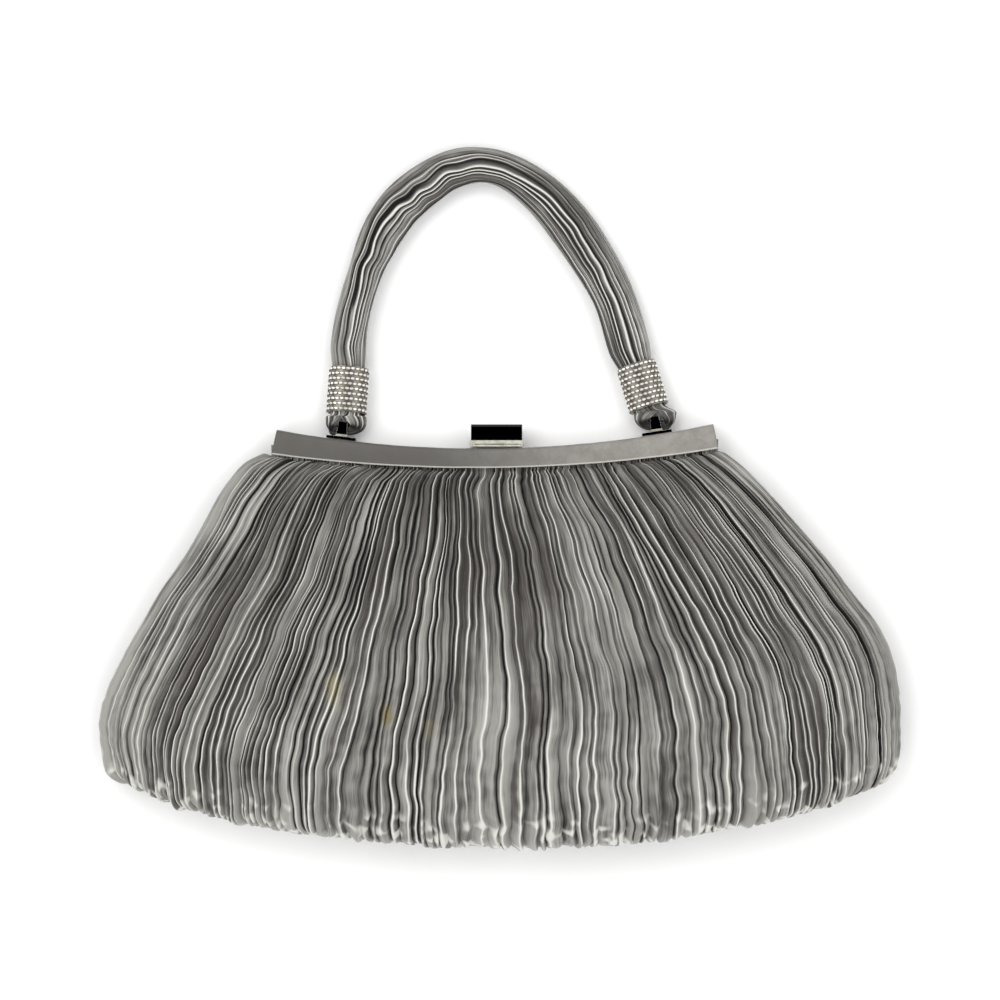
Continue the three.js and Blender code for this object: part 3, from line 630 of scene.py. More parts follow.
def settle(edges):
    """Lets each pleat wander only against its neighbours, so that none drifts far along its length."""
    last = edges.shape[1] - 1
    drift = edges - edges.mean(axis=0)
    padded = np.pad(drift, ((0, 0), (DRIFT_REACH // 2, DRIFT_REACH // 2)), mode="edge")
    total = np.cumsum(np.pad(padded, ((0, 0), (1, 0))), axis=1)
    slow = (total[:, DRIFT_REACH:] - total[:, :-DRIFT_REACH]) / DRIFT_REACH
    index = np.arange(last + 1)
    return edges - slow * smoothstep(np.minimum(index, last - index), 0, DRIFT_REACH)


def share_grid(rows, across):
    """Grids of each place's share of the way along, and of its share across."""
    return np.meshgrid(np.linspace(0, 1, rows), across, indexing="ij")


def pleat_grid(seed, count, rows, settings):
    """Pleats over u from 0 to 1: places across, heights about -1 to 1, and values for the colour: painted
    shade in the valleys, painted highlights on the crests, and the faces' tone, part of it painted light.

    settings: vary, how much widths differ; wander, how much they change along; broad, listed pleats;
    lean, how far ridges lean; crest, half a crest in millimetres; span, the millimetres across; least_deep.
    """
    rng = np.random.default_rng(seed)
    v_all, u = share_grid(rows, (np.arange(count) + 0.5) / count)
    v_edge, u_edge = share_grid(rows, np.arange(count + 1) / count)
    vary = settings["vary"] * rng.normal(0, 1, count)
    widths = np.exp(vary + settings["wander"] * field(seed + 1, u, v_all, count, settings["cells"]))
    plateau = rng.uniform(0, 1, count)
    bend = np.where(plateau > 0.75, 2.2, mix(0.75, 1.2, plateau))
    broad = settings["broad"]
    picks = [int((pleat["q"] + 1) / 2 * count) for pleat in broad]
    for pick, pleat in zip(picks, broad):
        widths[:, pick] = pleat["width"]
        bend[pick] = pleat["bend"]
    edges = np.concatenate([np.zeros((rows, 1)), np.cumsum(widths, axis=1)], axis=1)
    edges = settle(edges / edges[:, -1:])
    leaning = np.tanh(1.1 * rng.normal(0, 1, count) + 1.3 * field(seed + 2, u, v_all, count // 2, 4))
    ridges = mix(edges[:, :-1], edges[:, 1:], 0.5 + settings["lean"] * leaning)
    ridge_height = 1 + 0.25 * rng.normal(0, 1, count) + 0.35 * field(seed + 3, u, v_all, count // 2, 6)
    deepening = field(seed + 4, u_edge, v_edge, count, settings["cells"] + 3)
    deep = rng.uniform(0, 1, count + 1) ** 1.4 + 0.45 * deepening
    deep = np.clip(mix(settings["least_deep"], 1, deep), 0, 1.15)
    crest_half = np.minimum(settings["crest"] / settings["span"], 0.16 * np.diff(edges, axis=1))
    across, reach = pleat_samples(edges[:, :-1], ridges, edges[:, 1:], crest_half)
    crease = field(seed + 7, u, v_all, count, settings["cells"] + 5)
    height = np.empty((rows, count, SAMPLES))
    shade = np.empty((rows, count, SAMPLES))
    crest = np.zeros((rows, count, SAMPLES))
    # A painted highlight along each crest.
    crest[..., 3:6] = CREST_HIGHLIGHT
    downs = [DEPTHS[share] for share in LEFT_PLACES] + [0, 0, 0] + [DEPTHS[share] for share in RIGHT_PLACES]
    for j, down in enumerate(downs):
        valley = deep[:, :-1] if j < 4 else deep[:, 1:]
        top = ridge_height - (0 if j == 4 else CREST_DROP)
        height[..., j] = mix(top, VALLEY_HEIGHT - VALLEY_DROP * valley, down**bend)
        if j in (2, 6):
            height[..., j] += FACE_CREASE * crease * (1 if j == 2 else -1)
        # Painted shade near each valley, stronger where the valley is deeper.
        shade[..., j] = valley * np.clip(1 - reach[..., j] * count / settings["valley"], 0, 1)
    tone = 0.5 + 0.26 * rng.normal(0, 1, count) + 0.34 * field(seed + 5, u, v_all, count // 2, 5)
    # Painted light on the listed broad pleats' lower faces.
    for pick, pleat in zip(picks, broad):
        tone[:, pick] += pleat["tone"] * smoothstep(v_all[:, 0], 0.4, 0.75)
    tone = np.repeat(tone[..., None], SAMPLES, axis=2)
    # Painted light and shade: a pleat's left face lighter and its right one dimmer, by how its ridge leans.
    tone[..., :4] += FACE_LEAN_SHADE * leaning[..., None]
    tone[..., 5:] -= FACE_LEAN_SHADE * leaning[..., None]
    # Painted highlights on the crests, stronger on some pleats than on others.
    wear_and_highlight = 0.55 + 0.3 * rng.normal(0, 1, count) + 0.45 * field(seed + 6, u, v_all, count // 2, 12)
    crest *= np.clip(wear_and_highlight, 0.05, 1.1)[..., None]

    def closed(value, end):
        """All the pleats' places side by side, with the last valley's added."""
        return np.hstack([value.reshape(rows, -1), np.broadcast_to(end, (rows, 1))])

    last = deep[:, -1:]
    values = dict(shade=closed(shade, last), crest=closed(crest, 0), tone=closed(tone, tone[:, -1, -1:]))
    return closed(across, 1), closed(height, VALLEY_HEIGHT - VALLEY_DROP * last), values


# The body's two walls

FRONT_PLEATS = 102
FRONT_ROWS = 350
BACK_PLEATS = 72
BACK_ROWS = 130
BACK_DEPTH = 0.8
# How pale the patches of painted highlight near the hem are:
HEM_HIGHLIGHT = 1.3
PLEAT_HALF_DEPTH = 1.6
HEM_FROM = 0.955
CLOSES_FROM = 0.985
FINE_STEPS = 2000
# Pleats given one by one: place across, width, bend, and tone, which paints light on the lower faces of the
# three broad pleats near the left end:
BROAD_PLEATS = table("q width bend tone", [
    (-0.91, 1.8, 3.5, 0.6),
    (-0.893, 2, 4, 0.7),
    (-0.874, 1.9, 4, 0.65),
    (-0.41, 1.7, 3.2, 0),
    (-0.2, 1.4, 2.8, 0),
    (0.115, 1.6, 3, 0),
    (0.215, 1.8, 3.4, 0),
    (0.33, 1.6, 2.6, 0),
    (0.55, 1.6, 2.8, 0),
    (0.76, 1.7, 3, 0),
    (0.93, 1.6, 3, 0),
])


def rows_along(count, facing):
    """Row places along a pleat, spaced evenly over the bulging surface."""
    t = np.linspace(0, 1, FINE_STEPS)
    lengths = lengths_along(wall_point(np.zeros_like(t), t, facing))
    return np.interp(np.linspace(0, lengths[-1], count), lengths, t)


def half_width_at(t):
    return (along_side(right_side, t)[..., 0] - along_side(left_side, t)[..., 0]) / 2


def wall_sheet(seed, facing, count, rows, depth=1, wear_and_highlight=0, broad=()):
    """The pleated wall on one side: a grid of points, and their values for the colour, with its painted
    shade and highlights.

    depth: share of the full pleats; worn: how pale the patches of painted highlight near the hem are;
    broad: listed pleats.
    """
    t = rows_along(rows, facing)
    upper = 1 - smoothstep(t[:, None], 0.1, 0.6)
    settings = dict(
        vary=0.36, wander=0.36, cells=8, lean=0.3, least_deep=0.02, broad=broad,
        crest=mix(0.26, 0.3, t[:, None]), span=2 * FOOT_HALF_WIDTH, valley=VALLEY_REACH * (1 + 0.7 * upper),
    )
    u, height, values = pleat_grid(seed, count, rows, settings)
    t_all = np.broadcast_to(t[:, None], u.shape)
    q = 2 * u - 1

    def wave(number, cells_across, cells_along):
        return field(seed + number, u, t_all, cells_across, cells_along)

    away_from_fold = 1 - np.abs(q) ** 14
    low = smoothstep(t_all, 0.45, 0.95)
    bunch = 0.5 * wave(10, 12, 5) + 0.45 * wave(11, 26, 17)
    ripple = (0.22 + 0.26 * low) * wave(12, 2 * count // 3, 44)
    kink = 0.8 * wave(13, count // 3, 60) * np.exp(-t_all / 0.05)
    hem_wiggle = 0.5 * wave(14, count // 2, 60) * smoothstep(t_all, 0.86, 1)
    at_frame = smoothstep(t_all, 0, 0.035)
    shift = (bunch * mix(1.4, 0.55, smoothstep(t_all, 0.15, 0.6)) + ripple) * at_frame + kink + hem_wiggle
    q_moved = np.clip(q + shift * away_from_fold / half_width_at(t_all), -1, 1)
    base = wall_point(q_moved, t_all, facing)
    normal = wall_normal(q_moved, t_all, facing)
    in_slot = mix(0.4, 1, smoothstep(t_all, 0, 0.02))
    hem = 1 - 0.45 * smoothstep(t_all, HEM_FROM, 1)
    swell = 0.35 * wave(15, 20, 6)
    crumple = wave(16, count * 2, 72) * (0.05 + 0.3 * low)
    lift = (height * PLEAT_HALF_DEPTH * in_slot + crumple) * hem + swell * at_frame * away_from_fold
    lift *= 1 - smoothstep(t_all, CLOSES_FROM, 1)
    lift[:, 0] = lift[:, -1] = 0
    points = base + normal * (lift * depth)[..., None]
    points[..., 2] = np.maximum(points[..., 2], 0)
    dapple = wave(21, count * 2, 90) * (0.05 + 0.16 * low)
    # Painted light: the faces grow lighter towards the foot and again near the hem, where the wall turns to
    # the light; the dapple above is random tone.
    values["tone"] += 0.3 * smoothstep(t_all, 0.25, 0.95) - 0.14 + dapple
    values["tone"] += 0.16 * smoothstep(t_all, 0.88, 0.98)
    # Painted shade in the valleys, stronger near the frame.
    values["shade"] *= 1 + 0.3 * upper
    # Patches of stronger painted highlight on the crests near the hem.
    patches = np.clip(wave(22, 2 * count, 100) - 0.1, 0, 1) * smoothstep(t_all, 0.84, 0.96)
    values["crest"] += wear_and_highlight * patches * (1 - 0.6 * smoothstep(t_all, 0.975, 1))
    return points, dict(values, across=u * count * 4.5, along=t_all * BODY_LENGTH / 18)


def top_edge(points, facing):
    """Adds a row that carries the sheet up inside the bar's slot."""
    edge = points[0].copy()
    edge[:, 1] = bar_bottom(edge[:, 0]) + SLOT_DEPTH - SLOT_CLEARANCE
    edge[:, 2] = FRONT_SLOT_Z if facing > 0 else BACK_SLOT_Z
    return np.concatenate([edge[None], points])


def body_wall(names, facing, count, sheet):
    """One wall of the body, split across into as many pieces as it has names."""
    points, attributes = sheet
    points = top_edge(points, facing)
    attributes = {key: np.concatenate([value[:1], value]) for key, value in attributes.items()}
    per_piece = count // len(names) * SAMPLES
    for i, name in enumerate(names):
        columns = slice(i * per_piece, (i + 1) * per_piece + 1)
        chosen = points[:, columns]
        values = {key: value[:, columns] for key, value in attributes.items()}
        faces = grid_faces(*chosen.shape[:2], flip=facing > 0)
        piece = make_mesh(name, chosen.reshape(-1, 3), faces, BODY_SATIN, values)
        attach(piece, "bag")
        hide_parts("bag_body")


# The frame's covered bars

BAR_STATIONS = 150
BAR_CORNER = 1.5
LOWER_CORNER = 0.9
BAR_CROWN = 0.14
SLOT_RISE = 0.15
PIPING = 0.3


def arc(y, z, radius, start, end, steps=6):
    """Points round part of a circle, in degrees from Z towards Y."""
    angles = np.radians(np.linspace(start, end, steps))
    return [(y + radius * math.sin(a), z + radius * math.cos(a)) for a in angles]


def bar_outline(height):
    """One covered bar's section, from the slot round the back, top and front, and where its piping is."""
    thick = BAR_THICKNESS
    near, far = (thick + SLOT_WIDTH) / 2, (thick - SLOT_WIDTH) / 2
    points = [(SLOT_RISE, near), (SLOT_DEPTH, near), (SLOT_DEPTH, far), (SLOT_RISE, far)]
    points += arc(LOWER_CORNER, LOWER_CORNER, LOWER_CORNER, 270, 180)
    points += arc(height - BAR_CORNER, BAR_CORNER, BAR_CORNER, 180, 90)
    points += arc(height - BAR_CORNER, thick - BAR_CORNER, BAR_CORNER, 90, 0)
    points += [(height * up, thick + BAR_CROWN * (1 - (2 * up - 1) ** 2)) for up in (0.75, 0.5, 0.3)]
    points.append((2 * PIPING + 0.2, thick - 0.02))
    cord = arc(PIPING, thick - PIPING, PIPING, 30, -170, 9)
    return points + cord, [0] * len(points) + [1] * len(cord)


def bar_cover(name, node, back_z, facing, seed):
    """One covered bar, lofted along its curve, with slight puckers of stretched cloth."""
    rings = []
    for x in bar_place(np.linspace(-1, 1, BAR_STATIONS + 1)):
        outline, cord = bar_outline(bar_height(x))
        y, z = np.array(outline).T
        leaned = x - bar_share(x) * BAR_END_LEAN * y / bar_height(x)
        depth = z if facing > 0 else BAR_THICKNESS - z
        rings.append(np.stack([leaned, bar_bottom(x) + y, back_z + depth], axis=-1))
    points = np.array(rings)
    rows, width = points.shape[:2]
    u, v = share_grid(rows, np.linspace(0, 1, width))
    ends = np.abs(2 * u - 1) ** 6
    pucker = field(seed, u, v, 60, 5) * (0.05 + 0.12 * ends)
    points[..., 2] += facing * pucker * (v > 0.5)
    points[..., 1] += 0.06 * field(seed + 1, u, v, 40, 3)
    points[..., 2] = np.maximum(points[..., 2], 0)
    faces = grid_faces(rows, width, wrap=True, flip=facing < 0)
    piece = make_mesh(name, points.reshape(-1, 3), faces, BAR_SATIN, dict(piping=cord * rows))
    cap_ends(piece, rows, width)
    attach(piece, "bag")
    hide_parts(node)


def cap_ends(piece, rows, width):
    """Closes the first and last ring of a lofted piece."""
    mesh = bmesh.new()
    mesh.from_mesh(piece.data)
    mesh.verts.ensure_lookup_table()
    for start in (0, (rows - 1) * width):
        ring = [mesh.verts[start + k] for k in range(width)]
        mesh.faces.new(ring if start else ring[::-1])
    bmesh.ops.recalc_face_normals(mesh, faces=mesh.faces)
    mesh.to_mesh(piece.data)
    mesh.free()


# The handle

BRACKET_TOP = 7.2
CUFF_STAND_OFF = 10
CUFF_LENGTH = 17
CUFF_WIDTH = 15.6
CUFF_THICKNESS = 12.6
CUFF_WALL = 1.9
CUFF_LEAN = {-1: 4, 1: -17}
CUFF_SHIFT = {-1: 2, 1: -3}
SQUARENESS = 0.85
HANDLE_RISE = 77
HANDLE_WIDTH = 16.4
HANDLE_THICKNESS = 11.5
LOOP_TOP = 0.45 * CUFF_LENGTH
HALF_IN_CUFF = CUFF_WIDTH / 2 - CUFF_WALL - FIT_GAP
RISE_IN_CUFF = CUFF_THICKNESS / 2 - CUFF_WALL - FIT_GAP

# across: share of BRACKET_SPREAD; up: share of HANDLE_RISE; width and thick: shares of the handle's own
HANDLE_ROWS = table("across up width thick", [
    (-0.958, 0.036, 0.78, 0.94),
    (-0.955, 0.095, 0.8, 0.96),
    (-0.939, 0.211, 0.775, 1),
    (-0.904, 0.328, 0.775, 1),
    (-0.86, 0.445, 0.76, 1),
    (-0.807, 0.562, 0.84, 0.97),
    (-0.731, 0.679, 0.94, 0.93),
    (-0.624, 0.796, 0.95, 0.9),
    (-0.523, 0.864, 0.96, 0.9),
    (-0.372, 0.949, 0.9, 0.93),
    (-0.22, 0.99, 0.83, 0.98),
    (-0.07, 0.993, 0.75, 1),
    (0.082, 0.955, 0.76, 1),
    (0.233, 0.879, 0.87, 0.96),
    (0.347, 0.796, 0.93, 0.92),
    (0.466, 0.679, 1, 0.9),
    (0.57, 0.562, 0.98, 0.9),
    (0.662, 0.445, 0.93, 0.92),
    (0.734, 0.328, 0.92, 0.94),
    (0.782, 0.211, 0.95, 0.95),
    (0.826, 0.095, 0.95, 0.96),
    (0.85, 0.036, 0.87, 0.94),
])


def cuff_axis(side):
    lean = math.radians(CUFF_LEAN[side])
    up = np.array([math.sin(lean), math.cos(lean)])
    x = side * BRACKET_SPREAD
    foot = np.array([x + CUFF_SHIFT[side], bar_top(x) + CUFF_STAND_OFF])
    return foot, up, np.array([up[1], -up[0]])


def rounded(angle, half_width, half_height):
    """A section between round and square."""
    def bend(value):
        return np.sign(value) * np.abs(value) ** SQUARENESS

    return half_width * bend(np.cos(angle)), half_height * bend(np.sin(angle))


def tube(middle, across, half_width, half_height, angles, lift):
    """Rings of points round a flattened tube, pressed flat where it meets the table."""
    w, h = rounded(angles, half_width[:, None] + lift, half_height[:, None] + lift)
    points = np.empty(angles.shape + (3,))
    points[..., 0] = middle[:, None, 0] + across[:, None, 0] * w
    points[..., 1] = middle[:, None, 1] + across[:, None, 1] * w
    points[..., 2] = np.maximum(middle[:, None, 2] + h, 0)
    return points


def tube_piece(name, points, attributes, node):
    """A pleated tube with closed ends; its last column lies on its first and is left out."""
    points = points[:, :-1]
    rows, width = points.shape[:2]
    values = {key: value[:, :-1] for key, value in attributes.items()}
    faces = grid_faces(rows, width, wrap=True)
    piece = make_mesh(name, points.reshape(-1, 3), faces, HANDLE_SATIN, values)
    cap_ends(piece, rows, width)
    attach(piece, "bag")
    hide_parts(node)


HANDLE_PLEATS = 29
HANDLE_RINGS = 310
HANDLE_FOLD = 0.78
PATH_REACH = 7
# Painted shade of a deep fold down the handle's left shoulder, in shares of the way round and along; no
# fold is shaped there
FOLD_SHADE = dict(around=0.515, wide=0.016, starts=(0.12, 0.17), ends=(0.36, 0.42))
# How strongly the folds wave along the handle, from the left cuff to the right one
WAVE_ROWS = table("along wave", [
    (0, 0.25),
    (0.15, 0.6),
    (0.3, 1),
    (0.45, 0.8),
    (0.6, 0.3),
    (1, 0.2),
])


def handle_line():
    """Rows of x, y, half width and half height, from inside the left cuff to inside the right one."""
    base = min(bar_top(-BRACKET_SPREAD), bar_top(BRACKET_SPREAD)) + CUFF_STAND_OFF + CUFF_LENGTH
    rows = []
    for row in HANDLE_ROWS:
        x, y = row["across"] * BRACKET_SPREAD, base + row["up"] * HANDLE_RISE
        rows.append([x, y, row["width"] * HANDLE_WIDTH / 2, row["thick"] * HANDLE_THICKNESS / 2])
    ends = []
    for side in (-1, 1):
        foot, up, _ = cuff_axis(side)
        places = [foot + up * along for along in (LOOP_TOP + FIT_GAP, CUFF_LENGTH)]
        ends.append([[*place, HALF_IN_CUFF, RISE_IN_CUFF] for place in places])
    return np.array([*ends[0], *rows, *ends[1][::-1]])


def smoothed(rows, reach):
    """A running mean over an array's rows, with its ends held."""
    padded = np.pad(rows, ((reach, reach), (0, 0)), mode="edge")
    weights = np.ones(2 * reach + 1) / (2 * reach + 1)
    return np.stack([np.convolve(values, weights, mode="valid") for values in padded.T], axis=-1)


def handle():
    line = handle_line()
    sampled = spline_at(line, np.linspace(0, len(line) - 1, FINE_STEPS))
    lengths = lengths_along(sampled[:, :2])
    even = np.linspace(0, lengths[-1], HANDLE_RINGS)
    path = np.stack([np.interp(even, lengths, values) for values in sampled.T], axis=-1)
    path = smoothed(path, PATH_REACH)
    x, y, half_width, half_height = path.T
    tangent = smoothed(np.gradient(path[:, :2], axis=0), PATH_REACH)
    tangent /= np.linalg.norm(tangent, axis=1, keepdims=True)
    across_way = np.stack([tangent[:, 1], -tangent[:, 0]], axis=-1)
    settings = dict(vary=0.35, wander=0.5, cells=7, lean=0.3, crest=0.24, span=45,
                    least_deep=0.3, broad=[], valley=VALLEY_REACH)
    around, height, values = pleat_grid(301, HANDLE_PLEATS, HANDLE_RINGS, settings)
    height[:, -1] = height[:, 0]
    v = np.broadcast_to((even / even[-1])[:, None], around.shape)
    wave = curve_through(WAVE_ROWS, "wave", v)
    shift = wave * (0.024 * field(311, around, v, 4, 50) + 0.012 * field(312, around, v, 12, 34))
    shift += 0.03 * field(313, around, v, 5, 6)
    shift *= np.sin(np.pi * around) ** 0.5
    angles = 2 * np.pi * (around + shift) - np.pi / 2
    at_end = smoothstep(np.minimum(v, 1 - v), 0.02, 0.08)
    lobes = 0.45 * field(314, around, v, 6, 14) * np.sin(np.pi * around) * at_end
    lift = (height - 0.8) * HANDLE_FOLD * mix(0.75, 1, at_end) + lobes
    middle = np.stack([x, y, mix(CUFF_THICKNESS / 2, half_height, at_end[:, 0])], axis=-1)
    points = tube(middle, across_way, half_width, half_height, angles, lift)
    values["tone"] += 0.42 * field(315, around, v, 6, 9) - 0.32
    # Painted shade along that fold, with the crests' painted highlight taken away there; the valleys'
    # painted shade is deepened all over the handle.
    fold_shade = np.exp(-((around - FOLD_SHADE["around"]) / FOLD_SHADE["wide"]) ** 2)
    fold_shade *= smoothstep(v, *FOLD_SHADE["starts"]) * (1 - smoothstep(v, *FOLD_SHADE["ends"]))
    values["shade"] = np.maximum(values["shade"] * 1.55, fold_shade)
    values["crest"] *= 1.25 * (1 - fold_shade)
    values.update(across=around * HANDLE_PLEATS * 3, along=v * even[-1] / 9)
    tube_piece("handle_pleated", points, values, "handle_strap")


# The loop below a cuff: down one side of its bracket, through the eye, and up the other side.
# up: 0 at the eye's middle, 1 at the bracket's top, 2 at the cuff's foot, 3 at the loop's end inside it.
# In the cuff and in the eye, sideways is a share of the way out and width a share of LOOP_WIDTH.
# Between them, inner is millimetres out from the bracket's middle and outer a share of the loop's reach.
# thick: 0 as in the eye, 1 as in the cuff; outward: degrees that its width is turned down.
LOOP_ROWS = [
    *table("up sideways width thick outward", [
        (3, 0.84, 1, 0.7, 0),
        (2, 0.76, 1.4, 0.76, 0),
    ]),
    *table("up inner outer thick outward", [
        (1.65, 0.3, 0.99, 0.82, 0),
        (1.1, 1.3, 1.03, 0.8, 0),
        (0.6, 2.55, 1, 0.66, -8),
        (0.22, 2.6, 0.86, 0.38, -26),
    ]),
    *table("up sideways width thick outward", [
        (0, 0.66, 0.95, 0.03, -68),
        (0, 0, 0.86, 0, -90),
    ]),
]
LOOP_REACH = 7.5
LOOP_SHIFT = {-1: 1.8, 1: -0.7}
LOOP_WIDTH = 4
LOOP_PLEATS = 11
LOOP_RINGS = 90
LOOP_FOLD = 0.52
BRACKET_METAL = 0.8
BRACKET_BACK_Z = 0.5
BRACKET_FRONT_Z = BAR_THICKNESS - 0.15
EYE_MIDDLE_Y = 3.8
LOOP_BESIDE_BRACKET = BRACKET_LEG_WIDTH / 2 + FIT_GAP + LOOP_WIDTH / 2
LOOP_IN_CUFF = HALF_IN_CUFF - LOOP_WIDTH / 2
LOOP_IN_EYE = (BRACKET_FRONT_Z - BRACKET_BACK_Z) / 2 - BRACKET_METAL - FIT_GAP
EYE_MIDDLE_Z = (BRACKET_BACK_Z + BRACKET_FRONT_Z) / 2


def loop_row(side, row, way):
    """One row of the loop: x, y, z, the way its width points, its half width and its half height."""
    x = side * BRACKET_SPREAD
    up = row["up"]
    turn = 0
    if up >= 2:
        foot, cuff_up, cuff_across = cuff_axis(side)
        place = foot + cuff_up * (up - 2) * LOOP_TOP + cuff_across * way * row["sideways"] * LOOP_IN_CUFF
        turn = -math.atan2(cuff_up[0], cuff_up[1])
        z = CUFF_THICKNESS / 2
        width = row["width"] * LOOP_WIDTH
    else:
        rise = mix(EYE_MIDDLE_Y, BRACKET_TOP, up) if up < 1 else mix(BRACKET_TOP, CUFF_STAND_OFF, up - 1)
        z = mix(EYE_MIDDLE_Z, CUFF_THICKNESS / 2, smoothstep(np.array(up), 0, 2))
        if "outer" in row:
            outer = row["outer"] * (LOOP_REACH + way * LOOP_SHIFT[side])
            out, width = (row["inner"] + outer) / 2, outer - row["inner"]
        else:
            out, width = row["sideways"] * LOOP_BESIDE_BRACKET, row["width"] * LOOP_WIDTH
        place = (x + way * out, bar_top(x) + rise)
    outward = row["outward"] + 360 if way > 0 else 180 - row["outward"]
    half_height = mix(LOOP_IN_EYE, RISE_IN_CUFF, row["thick"])
    return [*place, z, math.radians(outward) + turn, width / 2, half_height]


def handle_loop(side, word, seed):
    rows = [loop_row(side, row, -1) for row in LOOP_ROWS]
    rows += [loop_row(side, row, 1) for row in LOOP_ROWS[-2::-1]]
    sampled = spline_at(rows, np.linspace(0, len(rows) - 1, LOOP_RINGS))
    settings = dict(vary=0.3, wander=0.4, cells=4, lean=0.2, crest=0.18, span=16,
                    least_deep=0.35, broad=[], valley=VALLEY_REACH)
    around, height, values = pleat_grid(seed, LOOP_PLEATS, LOOP_RINGS, settings)
    height[:, -1] = height[:, 0]
    v = np.broadcast_to(np.linspace(0, 1, LOOP_RINGS)[:, None], around.shape)
    in_eye = np.abs(2 * v - 1) ** 2
    shift = 0.03 * field(seed + 7, around, v, 5, 12) * np.sin(np.pi * around)
    angles = 2 * np.pi * (around + shift)
    lift = (height - 0.9) * LOOP_FOLD * mix(0.35, 1, in_eye) + 0.2 * in_eye
    way = np.stack([np.cos(sampled[:, 3]), np.sin(sampled[:, 3])], axis=-1)
    points = tube(sampled[:, :3], way, sampled[:, 4], sampled[:, 5], angles, lift)
    # Painted shade where the loop runs through the bracket's eye, below the cuff: its tone dims, the
    # painted valley shade spreads and the crests' painted highlight fades.
    shade_below = 1 - smoothstep(np.abs(2 * v - 1), 0.26, 0.6)
    values["tone"] -= 0.2 + 0.3 * shade_below
    values["shade"] = np.maximum(1.2 * values["shade"], 0.8 * shade_below)
    values["crest"] *= 1.4 * (1 - 0.8 * shade_below)
    values.update(across=around * LOOP_PLEATS * 3, along=v * 6)
    tube_piece(f"handle_loop_pleated_{word}", points, values, f"handle_loop_{word}")


# The cuffs of stone banding

STONE_ROWS = 9
STONES_ROUND = 24
STONE_RADIUS = 0.8
STONE_SIDES = 8
STONE_RISE = 0.5
TABLE_SHARE = 0.58
CUP_RADIUS = 0.96
CUP_RISE = 0.3
CUP_DEPTH = 0.35
BAND_SINK = 0.65
BAND_SIDES = 48
STONE_FLATTENING = 0.66
# How far a row leans along the cuff with each millimetre up from the cuff's middle
ROW_LEAN = 0.17


def ring_faces(here, there, sides):
    """Quads between two rings of points, which start at these numbers."""
    turns = [(k, (k + 1) % sides) for k in range(sides)]
    return [(here + k, here + after, there + after, there + k) for k, after in turns]


def stone_points():
    """One cut stone in its cup, pointing up Z: its points, faces and which faces are metal."""
    n = STONE_SIDES

    def ring(radius, height, turn=0.0):
        angles = 2 * np.pi * (np.arange(n) + turn) / n
        return [(radius * math.cos(a), radius * math.sin(a), height) for a in angles]

    points = ring(STONE_RADIUS, 0.12) + ring(STONE_RADIUS * 0.98, 0.24, 0.5)
    points += ring(STONE_RADIUS * TABLE_SHARE, STONE_RISE)
    faces = []
    for k in range(n):
        after = (k + 1) % n
        faces += [(k, after, n + k), (after, n + after, n + k)]
        faces += [(n + k, 2 * n + after, 2 * n + k), (n + k, n + after, 2 * n + after)]
    table = [tuple(range(2 * n, 3 * n))]
    cup = len(points)
    points += ring(CUP_RADIUS, -CUP_DEPTH) + ring(CUP_RADIUS, CUP_RISE - 0.08)
    points += ring(STONE_RADIUS, CUP_RISE) + ring(STONE_RADIUS * 0.97, 0.1)
    metal = []
    for start in (cup, cup + n, cup + 2 * n):
        metal += ring_faces(start, start + n, n)
    flattened = np.array(points) * (1, STONE_FLATTENING, 1)
    return flattened, faces + table, metal


def even_angles(count, offset, half_width, half_height):
    """Angles that step evenly round a section's edge."""
    dense = np.linspace(0, 2 * np.pi, 721)
    lengths = lengths_along(np.stack(rounded(dense, half_width, half_height), axis=-1))
    return np.interp((np.arange(count) + offset) / count % 1 * lengths[-1], lengths, dense)


def cuff_frame(side, along, angle, sink):
    """A point on the cuff's surface, with its directions out, round and up along the cuff."""
    foot, up, across = cuff_axis(side)
    (w0, w, w1), (h0, h, h1) = rounded(
        np.array([angle - 0.02, angle, angle + 0.02]), CUFF_WIDTH / 2 - sink, CUFF_THICKNESS / 2 - sink
    )
    edge = np.array([w1 - w0, h1 - h0])
    edge /= np.linalg.norm(edge)
    out = np.array([*(across * edge[1]), -edge[0]])
    around = np.array([*(across * edge[0]), edge[1]])
    place = np.array([*(foot + up * (along + ROW_LEAN * h) + across * w), CUFF_THICKNESS / 2 + h])
    return place, out, around, np.array([*up, 0])


def unit(vector):
    return vector / np.linalg.norm(vector)


